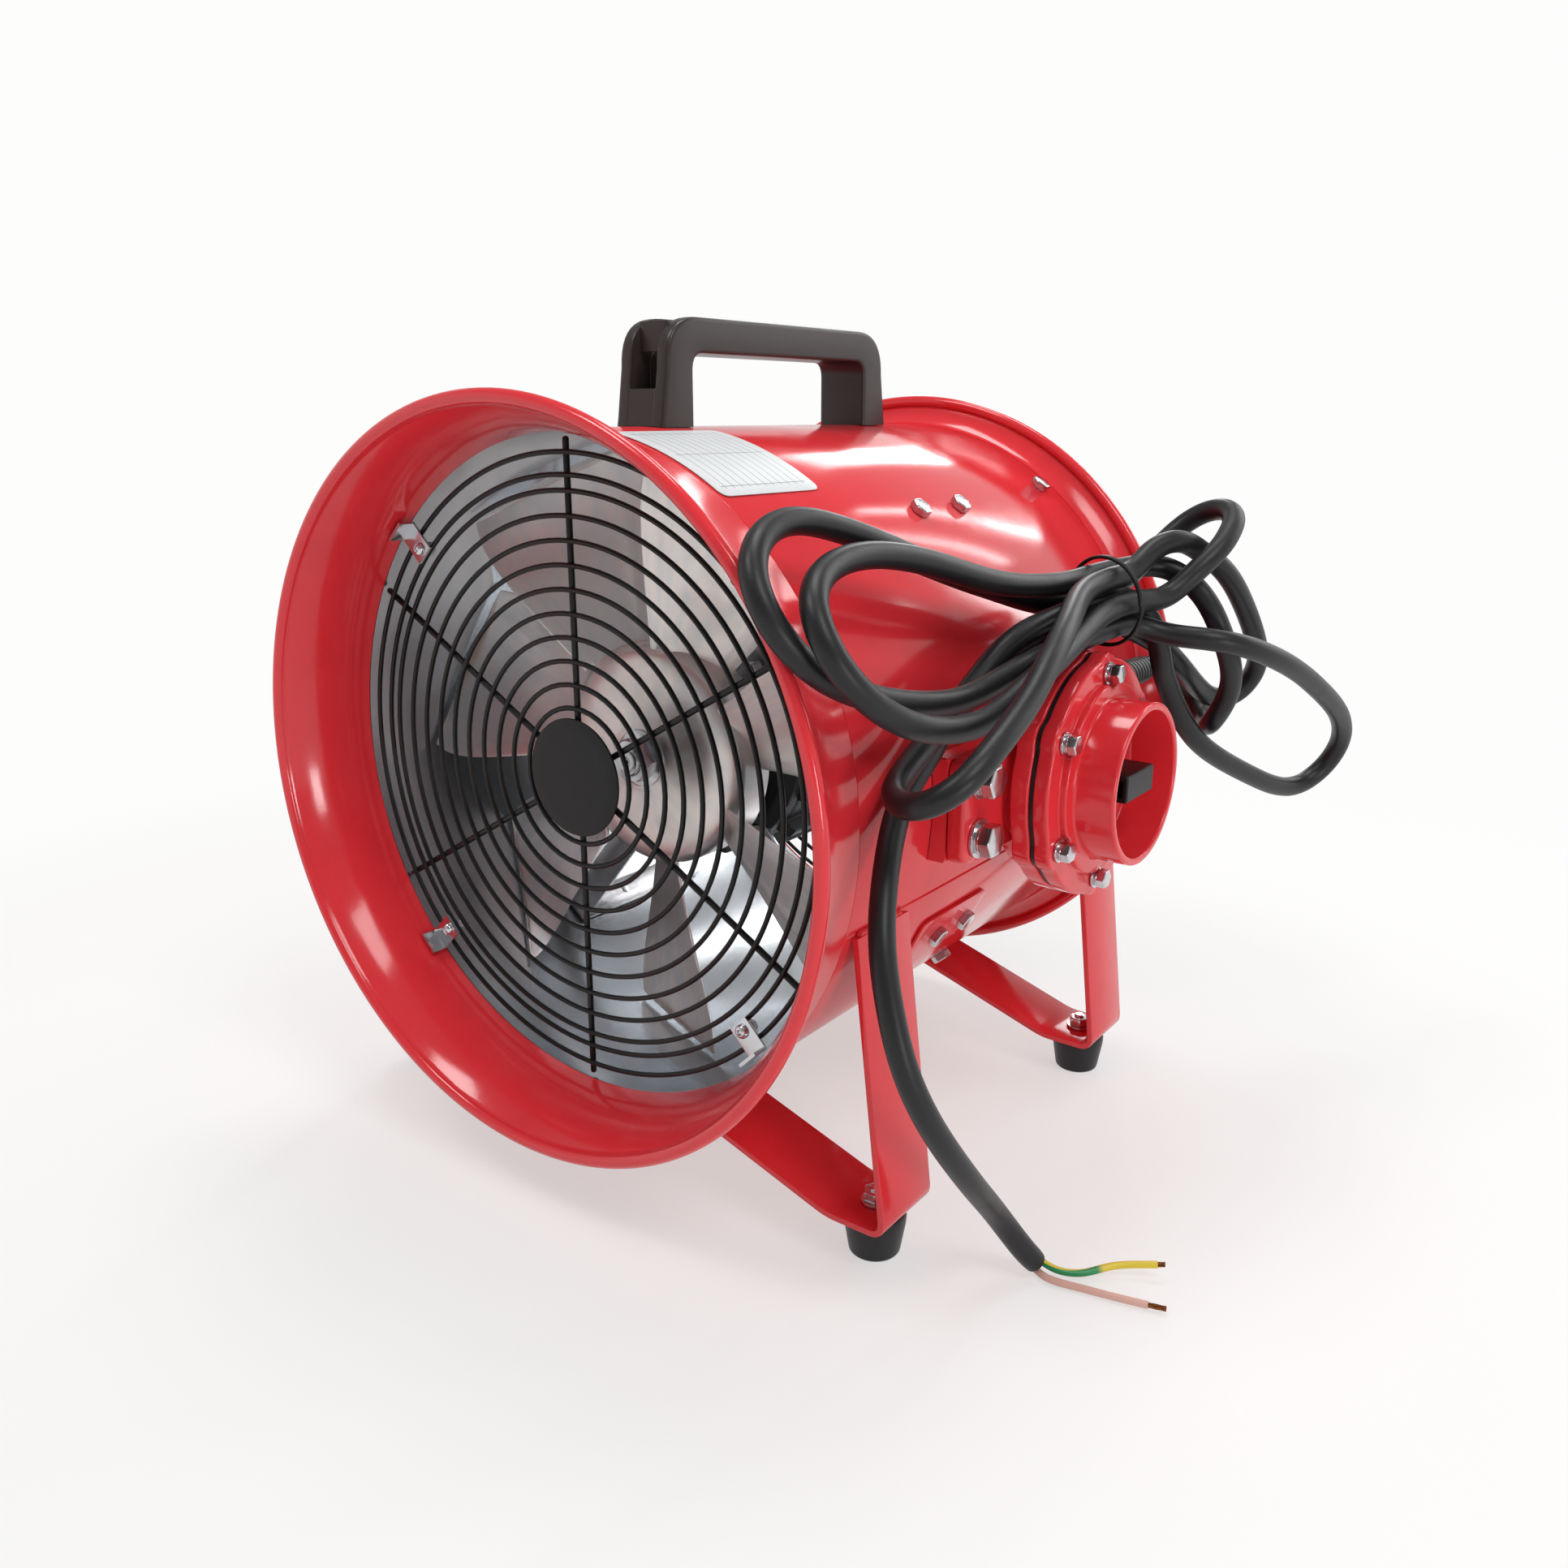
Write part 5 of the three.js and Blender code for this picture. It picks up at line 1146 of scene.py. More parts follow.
@dataclass
class PowerCord:
    """The cord from the gland through seven passes of its tie to the bare end, with its cores."""

    diameter: float = 10.5
    held: tuple[int, int] = (9, 3)
    tie_centre: Triple = (177, 212, 274.5)
    tie_along: Triple = (0.25, 0.95, 0.1)
    tie_spread: float = 11.4
    half_pass: float = 13.0
    spacing: float = 8.0
    rounds: int = 300
    keep: float = 0.04
    stiff: float = 0.06
    bend_radius: float = 24.0
    bend_share: float = 0.3
    clear: float = 2.8
    part_share: float = 0.35
    neighbours: int = 4
    off_casing: float = 1.2
    gland_mouth: Triple = (170, 244, 231.3)
    segments: int = 1100
    end_shares: Floats = (0.995, 0.98, 0.93)
    tie_wire: float = 0.85
    tie_samples: int = 160
    core_radius: float = 1.6
    core_rise: float = 2.2
    core_samples: int = 90
    pass_angles: tuple[float | None, ...] = (120, 0, 180, 300, None, 60, 240)
    runs: tuple[tuple[Triple, ...], ...] = (
        ((170, 218, 231.3), (170, 250.3, 231.3), (170, 282.6, 231.3), (170, 300, 231), (174, 320, 224),
         (184, 335, 207), (206, 288, 207), (216, 283, 226), (217, 262, 253), (206, 254, 278),
         (190, 253, 288)),
        ((162, 137, 289), (154, 82, 303), (151, 48, 307), (154, 19, 303), (162, 2, 293), (172, 1, 277),
         (180, 17, 259), (185, 45, 247), (190, 76, 245), (192, 109, 255)),
        ((196, 232, 273), (208, 257, 295), (211, 280, 309), (202, 293, 316), (188, 293, 310),
         (175, 284, 294)),
        ((150, 147, 286), (144, 99, 301), (137, 60, 314), (133, 25, 320), (139, -2, 309), (150, -8, 292),
         (159, 6, 272), (166, 38, 257), (172, 67, 251), (175, 94, 250), (179, 120, 257)),
        ((197, 233, 258), (219, 237, 258), (236, 264, 249), (246, 317, 227), (248, 376, 194),
         (241, 390, 169), (229, 371, 159), (215, 325, 174), (199, 273, 206), (190, 257, 238)),
        ((170, 133, 263), (165, 107, 247), (163, 84, 234), (166, 60, 226), (173, 40, 222), (184, 27, 219),
         (196, 28, 222), (204, 48, 238), (204, 81, 252), (198, 118, 269)),
        ((186, 235, 296), (197, 246, 301), (207, 268, 291), (213, 298, 267), (214, 324, 240),
         (208, 340, 217), (199, 336, 207), (194, 305, 220), (192, 265, 241)),
        ((166, 165, 256), (160, 125, 246), (156, 96, 228), (160, 66, 211), (168, 44, 194), (179, 23, 170),
         (187, 17, 149), (194, 15, 129), (201, 23, 104), (206, 46, 70), (204, 80, 33), (211, 90, 15),
         (215, 95, 7)),
    )
    green_points: tuple[Triple, ...] = (
        (224, 98, 5), (232, 103, 4), (244, 115, 6), (261, 125, 8))
    pink_points: tuple[Triple, ...] = (
        (222, 93, 3), (239, 96, 3), (256, 100, 3), (270, 104, 3))

    def tie_frame(self) -> tuple[Array, Array, Array]:
        """The directions of the tied bundle.

        Returns:
            Unit vectors along it, across it and up from it.
        """
        along = unit(np.array(self.tie_along))
        across = unit(np.array([along[1], -along[0], 0.0]))
        return along, across, np.cross(across, along)

    def chosen(self) -> Array:
        """The chosen points in order: the runs, with a straight pass through the tie between them.

        The passes lie round a middle one, at centre + spread·(across cos a + up sin a), and go forwards
        and rearwards in turn.

        Returns:
            (points, 3).
        """
        along, across, up = self.tie_frame()
        reach = np.outer([self.half_pass, -self.half_pass], along)
        parts = [np.array(self.runs[0], float)]
        for i, (degrees, run) in enumerate(zip(self.pass_angles, self.runs[1:])):
            side = np.zeros(3)
            if degrees is not None:
                angle = np.radians(degrees)
                side = self.tie_spread * (across * np.cos(angle) + up * np.sin(angle))
            parts += [np.array(self.tie_centre) + side + reach * (-1) ** i, np.array(run, float)]
        return np.vstack(parts)

    def casing_radius(self, along: Array) -> Array:
        """Outer radius of the casing at each place along it, and zero clear of its ends.

        Args:
            along: places along the fan axis.

        Returns:
            153.5 + 17·(1 − y/46)² over the bell, the lips' own radius within a diameter of them.
        """
        reach = self.diameter
        flare = 153.5 + 17.0 * np.maximum(1 - along / 46.0, 0) ** 2
        radius = np.where(along < reach, 169.0, flare)
        radius = np.where(along > 322.0 - reach, 169.2, radius)
        return np.where((along < -reach) | (along > 337.3 + reach), 0.0, radius)

    def moves(self, line: Array, home: Array) -> Array:
        """One round of easing: home pull, stiffness, opened bends and strands pushed apart.

        Args:
            line: (points, 3) of the cord now.
            home: its points before easing.

        Returns:
            The move of each point.
        """
        move = self.keep * (home - line)
        move[2:-2] -= self.stiff * (line[:-4] - 4 * line[1:-3] + 6 * line[2:-2] - 4 * line[3:-1] + line[4:])
        inwards = (line[:-4] + line[4:]) / 2 - line[2:-2]
        half = np.minimum(np.linalg.norm(line[4:] - line[:-4], axis=1) / 2, self.bend_radius)
        most = self.bend_radius - np.sqrt(self.bend_radius ** 2 - half ** 2)
        depth = np.maximum(np.linalg.norm(inwards, axis=1), TINY)
        inwards *= (self.bend_share * np.maximum(1 - most / depth, 0))[:, None]
        move[2:-2] += inwards
        move[:-4] -= inwards / 2
        move[4:] -= inwards / 2
        clear = self.diameter + self.clear
        apart = line[:, None] - line[None]
        distance = np.linalg.norm(apart, axis=2)
        count = np.arange(len(line))
        close = (distance < clear) & (np.abs(np.subtract.outer(count, count)) > self.neighbours)
        push = np.where(close, self.part_share * (clear / np.maximum(distance, TINY) - 1), 0.0)
        return move + np.einsum("ij,ijk->ik", push, apart)

    def settled(self) -> Array:
        """The smooth line after its rounds of easing, the held ends left as they were.

        Returns:
            (points, 3).
        """
        first = Spline(self.chosen())
        home = first.spaced(round(first.lengths[-1] / self.spacing))
        line = home.copy()
        free = slice(self.held[0] + 1, len(line) - self.held[1])
        for _ in range(self.rounds):
            moved = line + self.moves(line, home)
            radius = np.hypot(moved[:, 0], moved[:, 2] - AXIS_HEIGHT)
            need = self.casing_radius(moved[:, 1]) + self.diameter / 2 + self.off_casing
            grow = np.where((need > self.diameter) & (radius < need), need / radius, 1.0)
            moved[:, 0] *= grow
            moved[:, 2] = AXIS_HEIGHT + (moved[:, 2] - AXIS_HEIGHT) * grow
            line = line.copy()
            line[free] = moved[free]
        return line

    def build(self) -> list[Piece]:
        """Returns:
            The pieces.
        """
        line = self.settled()
        spline = Spline(line)
        path = spline.spaced(self.segments)
        size = np.full(len(path), self.diameter / 2)
        size[-len(self.end_shares):] *= np.array(self.end_shares)
        cord = make_piece("power_cord_jacket", [carry(path, circle(size, 18))], RUBBER, ("power_cord",))
        tie = self.tie(line)
        cores = self.cores(path)
        tuple((np.array(self.gland_mouth) + SHIFT) * MM)
        return [cord, tie, *cores]

    def tie(self, line: Array) -> Piece:
        """A thin binding wire wound twice round the bundle, just outside its furthest strand.

        Args:
            line: (points, 3) of the cord.

        Returns:
            The piece.
        """
        along, across, up = self.tie_frame()
        offset = line - np.array(self.tie_centre)
        near = np.linalg.norm(offset, axis=1) < 2 * self.tie_spread
        near &= np.abs(offset @ along) < self.spacing
        reach = np.linalg.norm(np.cross(offset[near], along), axis=1).max()
        radius = (reach + self.diameter / 2 + 0.3) / np.cos(np.pi / 20) + 1.0
        angle = np.linspace(0, 2 * FULL, self.tie_samples)
        ring = radius * (np.outer(np.cos(angle), across) + np.outer(np.sin(angle), up))
        pitch = np.linspace(-0.9, 0.9, self.tie_samples)[:, None] * along
        wire = carry(np.array(self.tie_centre) + ring + pitch, circle(self.tie_wire, 10))
        return make_piece("cord_tie_wire", [wire], BLACK_PLASTIC, ("cord_tie",))

    def cores(self, path: Array) -> list[Piece]:
        """The two insulated cores with their bare strands.

        Args:
            path: (points, 3) of the jacket.

        Returns:
            The pieces.
        """
        ahead = unit(path[-1] - path[-2])
        above = unit(UP - ahead * ahead[2])
        made = []
        for name, points, rise, bare, finish in (
            ("core_green_yellow", self.green_points, self.core_rise, 86, GREEN_YELLOW),
            ("core_pink", self.pink_points, -self.core_rise, 80, PINK),
        ):
            start = path[-1] + above * rise
            leads = np.array([start - ahead * 0.5, start + ahead * 0.5, start + ahead * 2.5])
            run = Spline(np.vstack([leads, np.array(points, float)])).spaced(self.core_samples)
            lead = carry(run[:bare], circle(self.core_radius, 14))
            made.append(make_piece(f"{name}_lead", [lead], finish, (name,)))
            made.append(make_piece(f"{name}_strands", self.strands(run[bare - 3:]), COPPER))
        return made

    def strands(self, run: Array) -> list[Surface]:
        """Seven fine strands along a run, six of them twisted round the middle one.

        Args:
            run: (points, 3) of the middle one.

        Returns:
            The surfaces.
        """
        share = np.linspace(0, 1, len(run))[:, None]
        side = unit(np.cross(run[-1] - run[0], UP))
        parts = [carry(run, circle(0.42, 6))]
        for k in range(6):
            angle = FULL * k / 6 + 2.2 * share
            parts.append(carry(run + 0.8 * (np.cos(angle) * side + np.sin(angle) * UP), circle(0.38, 6)))
        return parts


# Casing


def casing_screw(angle: float, along: float, length: float, seat: float = CASING_SEAT) -> list[Surface]:
    """A small hexagon bolt through the barrel at an angle and a place, its head on a seat's radius."""
    parts = bolt(2.5, 5.2, 3.6, length)
    return radial(angle, along).put_all([part.moved(0.0, seat, 0.0) for part in parts])


@dataclass
class Casing:
    """Rolled barrel, spun inlet bell and outlet rim, the doubler over the lap, and the bare label."""

    inner: float = 152.0
    wall: float = 1.5
    front: float = 46.3
    rear: float = 322.0
    rim_end: float = 337.3
    seam_angle: float = -16.2
    seam_depth: float = 0.7
    seam_turns: Floats = (-0.55, -0.3, -0.14, -0.04, 0.04, 0.14, 0.3, 0.55)
    doubler_size: Triple = (10.0, 60.0, 1.5)
    doubler_spot: Pair = (-28.0, 146.0)
    doubler_bolt_angle: float = -28.5
    doubler_bolt_places: Pair = (138.0, 164.0)
    label_size: Triple = (24.0, 66.0, 0.4)
    label_spot: Pair = (68.0, 81.0)

    def barrel(self) -> Piece:
        """The barrel: a tube whose outside dips by the seam's depth over a third of a degree.

        Returns:
            The piece.
        """
        seam = np.radians(self.seam_angle)
        even = turns(180)
        even = even[np.abs((even - seam + np.pi) % FULL - np.pi) > np.radians(0.8)]
        angle = np.sort(np.concatenate([even, (seam + np.radians(self.seam_turns)) % FULL]))
        turn = (angle - seam + np.pi) % FULL - np.pi
        dip = self.seam_depth * np.clip(1.4 - np.abs(np.degrees(turn)) / 0.16, 0, 1)
        outer = self.inner + self.wall
        profile = fillet(np.array([
            [self.inner, self.front], [outer, self.front], [outer, self.rear], [self.inner, self.rear],
        ]), 0.4, 2)
        radius = profile[:, :1] - np.where(profile[:, :1] > self.inner + 1.0, dip, 0.0)
        along = np.repeat(profile[:, 1:], len(angle), axis=1)
        rows = columns(radius * np.cos(angle), along, radius * np.sin(angle))
        return make_piece("barrel_sheet", [about_fan().put(skin(rows))], BARREL_ENAMEL, ("barrel_shell",))

    def mouth(self, flare: float, bead: float, depth: float, power: float) -> Surface:
        """A spun mouth: r = inner + (lip − inner)·s^power while y falls from the depth, then the bead.

        Args:
            flare: of the rim past the barrel's inside.
            bead: radius of the rolled bead.
            depth: of the mouth.
            power: of the flare's curve.

        Returns:
            The surface, its mouth at zero.
        """
        centre = self.inner + flare - bead
        share = np.linspace(0, 1, 33)
        inner = columns(
            self.inner + (centre - bead - self.inner) * share ** power, depth - (depth - bead) * share,
        )
        angle = np.radians(np.linspace(195, 485, 22))
        roll = columns(centre + bead * np.cos(angle), bead + bead * np.sin(angle))
        outer = inner[:-2][::-1] + np.array([self.wall, 0.0])
        return revolve(np.vstack([inner, roll, outer]), 180)

    def bent(self, size: Triple, spot: Pair, corner: float, soft: float) -> Surface:
        """A plate of (degrees, length, thickness) laid round the barrel about an (angle, place)."""
        outline = long_box(CASING_SEAT * np.radians(size[0]), size[1], corner)
        return about_fan(*spot).put(plate(outline, 0.0, size[2], soft, CASING_SEAT))

    def build(self) -> list[Piece]:
        """Makes the casing's pieces, the doubler's two bolts with their nuts inside.

        Returns:
            The pieces.
        """
        bell = self.mouth(17.0, 3.2, 46.0, 2.7)
        rim = self.mouth(17.2, 3.0, 15.0, 1.6).turned_back(self.rim_end)
        doubler = self.bent(self.doubler_size, self.doubler_spot, 6.0, 0.4)
        bolts = []
        for along in self.doubler_bolt_places:
            bolts += casing_screw(self.doubler_bolt_angle, along, 6.0, CASING_SEAT + self.wall)
            bolts.append(radial(self.doubler_bolt_angle, along).put(hex_head(4.6, 147.6, 151.0)))
        label = self.bent(self.label_size, self.label_spot, 5.0, 0.12)
        return [
            self.barrel(),
            make_piece("inlet_bell_mouth", [about_fan().put(bell)], ENAMEL, ("inlet_bell",)),
            make_piece("outlet_rim_mouth", [about_fan().put(rim)], ENAMEL, ("outlet_rim",)),
            make_piece("lap_doubler", [doubler], ENAMEL, ("lap_plate",)),
            make_piece("lap_doubler_bolts", bolts, ZINC),
            make_piece("rating_label_sheet", [label], LABEL, ("rating_label",)),
        ]


# Grilles


@dataclass
class Grilles:
    """Both wire grilles, the round badge and the clips that hold them."""

    ring_wire: float = 1.2
    spoke_wire: float = 1.5
    hub_ring: float = 14.0
    first_ring: float = 31.8
    last_even_ring: float = 127.4
    outer_rings: Pair = (134.0, 143.5)
    outlet_rings: Floats = (31.8, 65.85, 99.9)
    faces: Pair = (46.0, 315.0)
    spoke_end: float = 150.0
    clip_start: float = 133.0
    clip_half: float = 5.8
    clip_sheet: float = 1.5
    clip_screw: float = 137.2

    def wires(self, radii: list[float], face: float) -> list[Surface]:
        """Rings and six spokes of one grille, welded behind the rings.

        Args:
            radii: of the rings.
            face: place of the rings along the fan axis.

        Returns:
            The surfaces in the working frame.
        """
        parts = [about_fan().put(revolve(
            np.array([radius, face]) + circle(self.ring_wire, 10), max(40, int(radius * 1.1)),
        )) for radius in radii]
        behind = face + self.ring_wire + self.spoke_wire - 1.0
        spoke = rod(np.array([self.hub_ring, behind, 0.0]), np.array([self.spoke_end, behind, 0.0]),
                    self.spoke_wire)
        return parts + [about_fan(90.0 + 60.0 * i).put(spoke) for i in range(6)]

    def clip(self, angle: float, tab_rear: float, flange: float) -> Surface:
        """An angle of bent strip: its tab in front of the rings and its flange along the wall.

        Args:
            angle: degrees from +X towards +Z.
            tab_rear: place of the tab's rear face.
            flange: length of the flange.

        Returns:
            The surface in the working frame.
        """
        outer = np.sqrt(CASING_CLEAR ** 2 - 7.0 ** 2) - self.clip_sheet
        line = [(self.clip_start, tab_rear), (outer, tab_rear), (outer, tab_rear - flange)]
        bar = bent_bar(line, self.clip_sheet, self.clip_half, 1.2, 4.0, 0.3)
        return about_fan(angle).put(bar.laid_over())

    def build(self) -> list[Piece]:
        """Makes both grilles, the badge and the clips.

        Returns:
            The pieces.
        """
        step = (self.last_even_ring - self.first_ring) / 9
        even = [self.first_ring + step * i for i in range(10)]
        front = self.wires([self.hub_ring, *even, *self.outer_rings], self.faces[0])
        rear = self.wires([self.hub_ring, *self.outlet_rings, *self.outer_rings], self.faces[1])
        screws = []
        for angle in (52.0, 142.0, 232.0, 322.0):
            rear.append(self.clip(angle, 314.3, 18.0))
            screws += casing_screw(angle, 308.0, 5.5)
        badge = turned([(1.4, 42.9), (22.0, 42.95), (27.5, 43.3), (27.5, 44.5), (1.4, 44.5)], 0.5, 72,
                       Ends.CAPPED)
        made = [
            make_piece("inlet_guard", front, WIRE, ("inlet_grille",)),
            make_piece("outlet_guard", rear, WIRE, ("outlet_grille",)),
            make_piece("outlet_guard_screws", screws, ZINC),
            make_piece("guard_badge", [about_fan().put(badge)], BLACK_PLASTIC, ("grille_badge",)),
        ]
        for i in range(4):
            angle = 45.0 + 90.0 * i
            parts = [self.clip(angle, 44.5, 9.0)]
            parts += forwards(self.clip_screw, angle, 43.0).put_all(pan_screw(3.3, 2.4, 1.8, 7.0))
            parts.append(rearwards(self.clip_screw, angle, 47.5).put(hex_head(3.5, 0.0, 2.6)))
            name = f"inlet_grille_clip_{i + 1}"
            made.append(make_piece(f"{name}_angle", parts, ZINC, (name,)))
        return made


# Fan wheel and shaft


@dataclass
class FanWheel:
    """The cast wheel: a domed hub and seven twisted blades, on its shaft with its nut."""

    centre: float = 103.0
    blades: int = 7
    first_angle: float = 118.0
    root: float = 53.5
    tip: float = 148.0
    sheet: float = 2.2
    shares: Pair = (0.31, 0.335)
    pitches: Pair = (34.0, 25.0)
    camber: float = 5.0
    trim: float = 0.16
    rib: float = 0.7
    rib_width: float = -0.62
    bore: float = 7.3
    nut_radius: float = 11.0

    def blade(self, base: float) -> Surface:
        """One blade.

        At span s and width w the middle surface has radius r = root + (tip − root)s, angle
        w(1 − trim·s^6)(share at s) and place centre − tan(pitch at s)·r·angle + camber·s(1 − w²). The
        thickness is a flattened ellipse over the width, so the edges are round, with a low rib along it.

        Args:
            base: angle of its middle, in degrees.

        Returns:
            The surface.
        """
        span = np.linspace(0, 1, 29)[:, None]
        around = turns(64)
        width = np.sign(np.cos(around)) * np.abs(np.cos(around)) ** 0.75
        side = np.sign(np.sin(around)) * np.abs(np.sin(around)) ** 0.4 * self.sheet / 2
        taper = 1.0 + 0.5 * (1 - span) ** 3
        radius = self.root + (self.tip - self.root) * span
        pitch = np.radians(self.pitches[0] + (self.pitches[1] - self.pitches[0]) * span)
        share = self.shares[0] + (self.shares[1] - self.shares[0]) * np.sin(QUARTER * span)
        angle = share * (1 - self.trim * span ** 6) * width
        along = self.centre - np.tan(pitch) * radius * angle + self.camber * span * (1 - width ** 2)
        fade = np.sin(np.pi * np.clip(span * 1.1, 0, 1)) ** 0.5
        rib = self.rib * np.exp(-((width - self.rib_width) / 0.05) ** 2) * fade
        along = along + side * taper - np.where(side < 0, rib, 0.0)
        theta = np.radians(base) + angle
        rows = columns(radius * np.cos(theta), along, radius * np.sin(theta))
        return about_fan().put(skin(rows, Ends.CAPPED))

    def build(self) -> list[Piece]:
        """Makes the wheel, the nut and the shaft.

        Returns:
            The pieces.
        """
        hub = turned([
            (self.bore, 88), (15, 88), (18, 88.6), (43, 90), (51, 92.4), (55, 97.5), (55, 118), (52, 118),
            (52, 97.5), (48, 95), (16, 95), (16, 115), (self.bore, 115),
        ], [0.4, 1, 2, 6, 4, 3, 0.6, 0.6, 1.5, 1.5, 1.5, 1, 0.4], 96)
        wheel = [about_fan().put(hub)]
        wheel += [self.blade(self.first_angle + 360 / self.blades * i) for i in range(self.blades)]
        nut = hex_nut(self.nut_radius, self.bore, [(0.9, 79.9), (0.97, 80.6), (1.0, 81.4), (1.0, 86.0)],
                      ((13.0, 86.3), (14.0, 86.6), (14.0, 87.7)))
        shaft = turned([
            (0.6, 79.6), (1.8, 79.2), (2.2, 77.9), (6.2, 77.9), (7.0, 78.7), (7.0, 254.0), (0.6, 254.0),
        ], 0.2, 40, Ends.CAPPED, 2)
        return [
            make_piece("fan_casting", wheel, ALUMINIUM, ("fan_wheel",), Body.ROTOR),
            make_piece("shaft_hex_nut", [about_fan().put(nut)], ZINC, ("shaft_nut",), Body.ROTOR),
            make_piece("motor_shaft_bar", [about_fan().put(shaft)], ZINC, ("motor_shaft",), Body.ROTOR),
        ]


# Motor


@dataclass
class Motor:
    """The finned motor in the air path, its caps, brackets and what is inside it."""

    front: float = 145.0
    rear: float = 243.0
    cap_faces: Pair = (133.7, 254.3)
    wall_radius: float = 57.8
    bore: float = 50.3
    fin: float = 7.0
    fins: int = 16
    segments: int = 512
    bracket_angles: Floats = (49.0, 131.0, 230.0, 310.0)
    bracket_face: float = 130.4
    bracket_length: float = 103.0
    bracket_half: float = 8.0
    bolt_circle: float = 54.05
    coil_segments: int = 288
    coils: int = 24
    coil_radius: float = 42.0
    coil_half: Pair = (4.3, 5.1)
    coil_middle: float = 6.0

    def housing(self) -> Piece:
        """The shell: r = wall + fin·f, where f is a steep rounded wave, lower over the last millimetres.

        Returns:
            The piece.
        """
        angle = turns(self.segments)
        wave = 1 / (1 + np.exp(-(np.cos(self.fins * angle) - 0.55) * 14))
        levels = [(self.front, 0.0), (self.front + 1.5, 0.7), (self.front + 4, 1.0), (self.rear - 4, 1.0),
                  (self.rear - 1.5, 0.7), (self.rear, 0.0)]
        outer = [(self.wall_radius - (0.4 if share == 0 else 0) + self.fin * wave * share, y)
                 for y, share in levels]
        inner = [(self.bore, y) for y in (self.rear, (self.front + self.rear) / 2, self.front)]
        shell = revolve(levelled(outer + inner, self.segments), self.segments)
        return make_piece("motor_shell", [about_fan().put(shell)], CASTING, ("motor_housing",))

    def bracket(self, index: int, angle: float) -> Piece:
        """A bar bent from the cap to the wall, with its cap bolt and its two screws through the barrel.

        Args:
            index: its number.
            angle: degrees from +X towards +Z.

        Returns:
            The piece.
        """
        outer = np.sqrt(CASING_CLEAR ** 2 - self.bracket_half ** 2)
        front = self.bracket_face
        line = [(44.0, front), (outer, front), (outer, front + self.bracket_length)]
        bar = bent_bar(line, -3.0, self.bracket_half, 5.0, 8.0, 0.5)
        parts = [about_fan(angle).put(bar.laid_over())]
        parts += forwards(self.bolt_circle, angle, front).put_all(bolt(2.5, 4.2, 3.4, 27.0))
        for along in (172.0, 209.0):
            parts += casing_screw(angle, along, 6.2)
        name = f"motor_bracket_{index}"
        return make_piece(f"{name}_bar", parts, ZINC, (name,))

    def coil(self, name: str, start: float) -> Piece:
        """An end winding: a ring of bundled wire that swells at each of its coils.

        Args:
            name: of the winding's node.
            start: its front along the fan axis.

        Returns:
            The piece.
        """
        angle = turns(self.coil_segments)
        around = turns(20)
        swell = 1 + 0.13 * np.abs(np.sin(self.coils / 2 * angle))[:, None]
        radius = self.coil_radius + self.coil_half[0] * np.cos(around) * swell
        along = start + self.coil_middle + self.coil_half[1] * np.sin(around) * swell
        ring = revolve(columns(radius, along), self.coil_segments)
        return make_piece(f"{name}_coils", [about_fan().put(ring)], COPPER, (name,))

    def build(self) -> list[Piece]:
        """Makes the motor's shell, its stepped caps with their bolts, the windings and the brackets.

        Returns:
            The pieces.
        """
        rear_bolts = []
        for angle in self.bracket_angles:
            place = rearwards(self.bolt_circle, angle, self.cap_faces[1])
            rear_bolts += place.put_all(bolt(2.5, 4.2, 3.4, 20.0))
        cap = turned([
            (7.5, 0.6), (19, 0.0), (20.5, 1.6), (40, 1.6), (42, 0.0), (51.8, 0.0), (self.wall_radius, 3.0),
            (self.wall_radius, 11.0), (17.3, 11.0), (17.3, 3.2), (7.5, 3.2),
        ], 0.9, 96)
        front_cap = about_fan().put(cap.moved(0.0, self.cap_faces[0], 0.0))
        rear_cap = about_fan().put(cap.turned_back(self.cap_faces[1]))
        return [
            self.housing(),
            make_piece("motor_cap_front", [front_cap], CASTING, ("motor_front_cap",)),
            make_piece("motor_cap_rear", [rear_cap], CASTING, ("motor_rear_cap",)),
            make_piece("motor_cap_bolts", rear_bolts, ZINC),
            self.coil("stator_winding_front", 153.7), self.coil("stator_winding_rear", 222.3),
            *[self.bracket(i + 1, angle) for i, angle in enumerate(self.bracket_angles)],
        ]


def dress_inner_nodes() -> list[str]:
    """Gives the turned CAD nodes that stay inside the machine their finishes.

    Returns:
        Their names.
    """
    kept = dict.fromkeys((
        "rotor_core", "stator_core", "front_bearing", "rear_bearing", "switch_mechanism",
        "switch_spindle", "handle_screw_1", "handle_screw_2",
    ), ZINC)
    kept["switch_mechanism"] = BLACK_PLASTIC
    for name, finish in kept.items():
        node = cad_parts[name]
        if node.data.materials:
            for spot in node.material_slots:
                spot.material = finish.material()
        else:
            node.data.materials.append(finish.material())
    return list(kept)


# Switch box


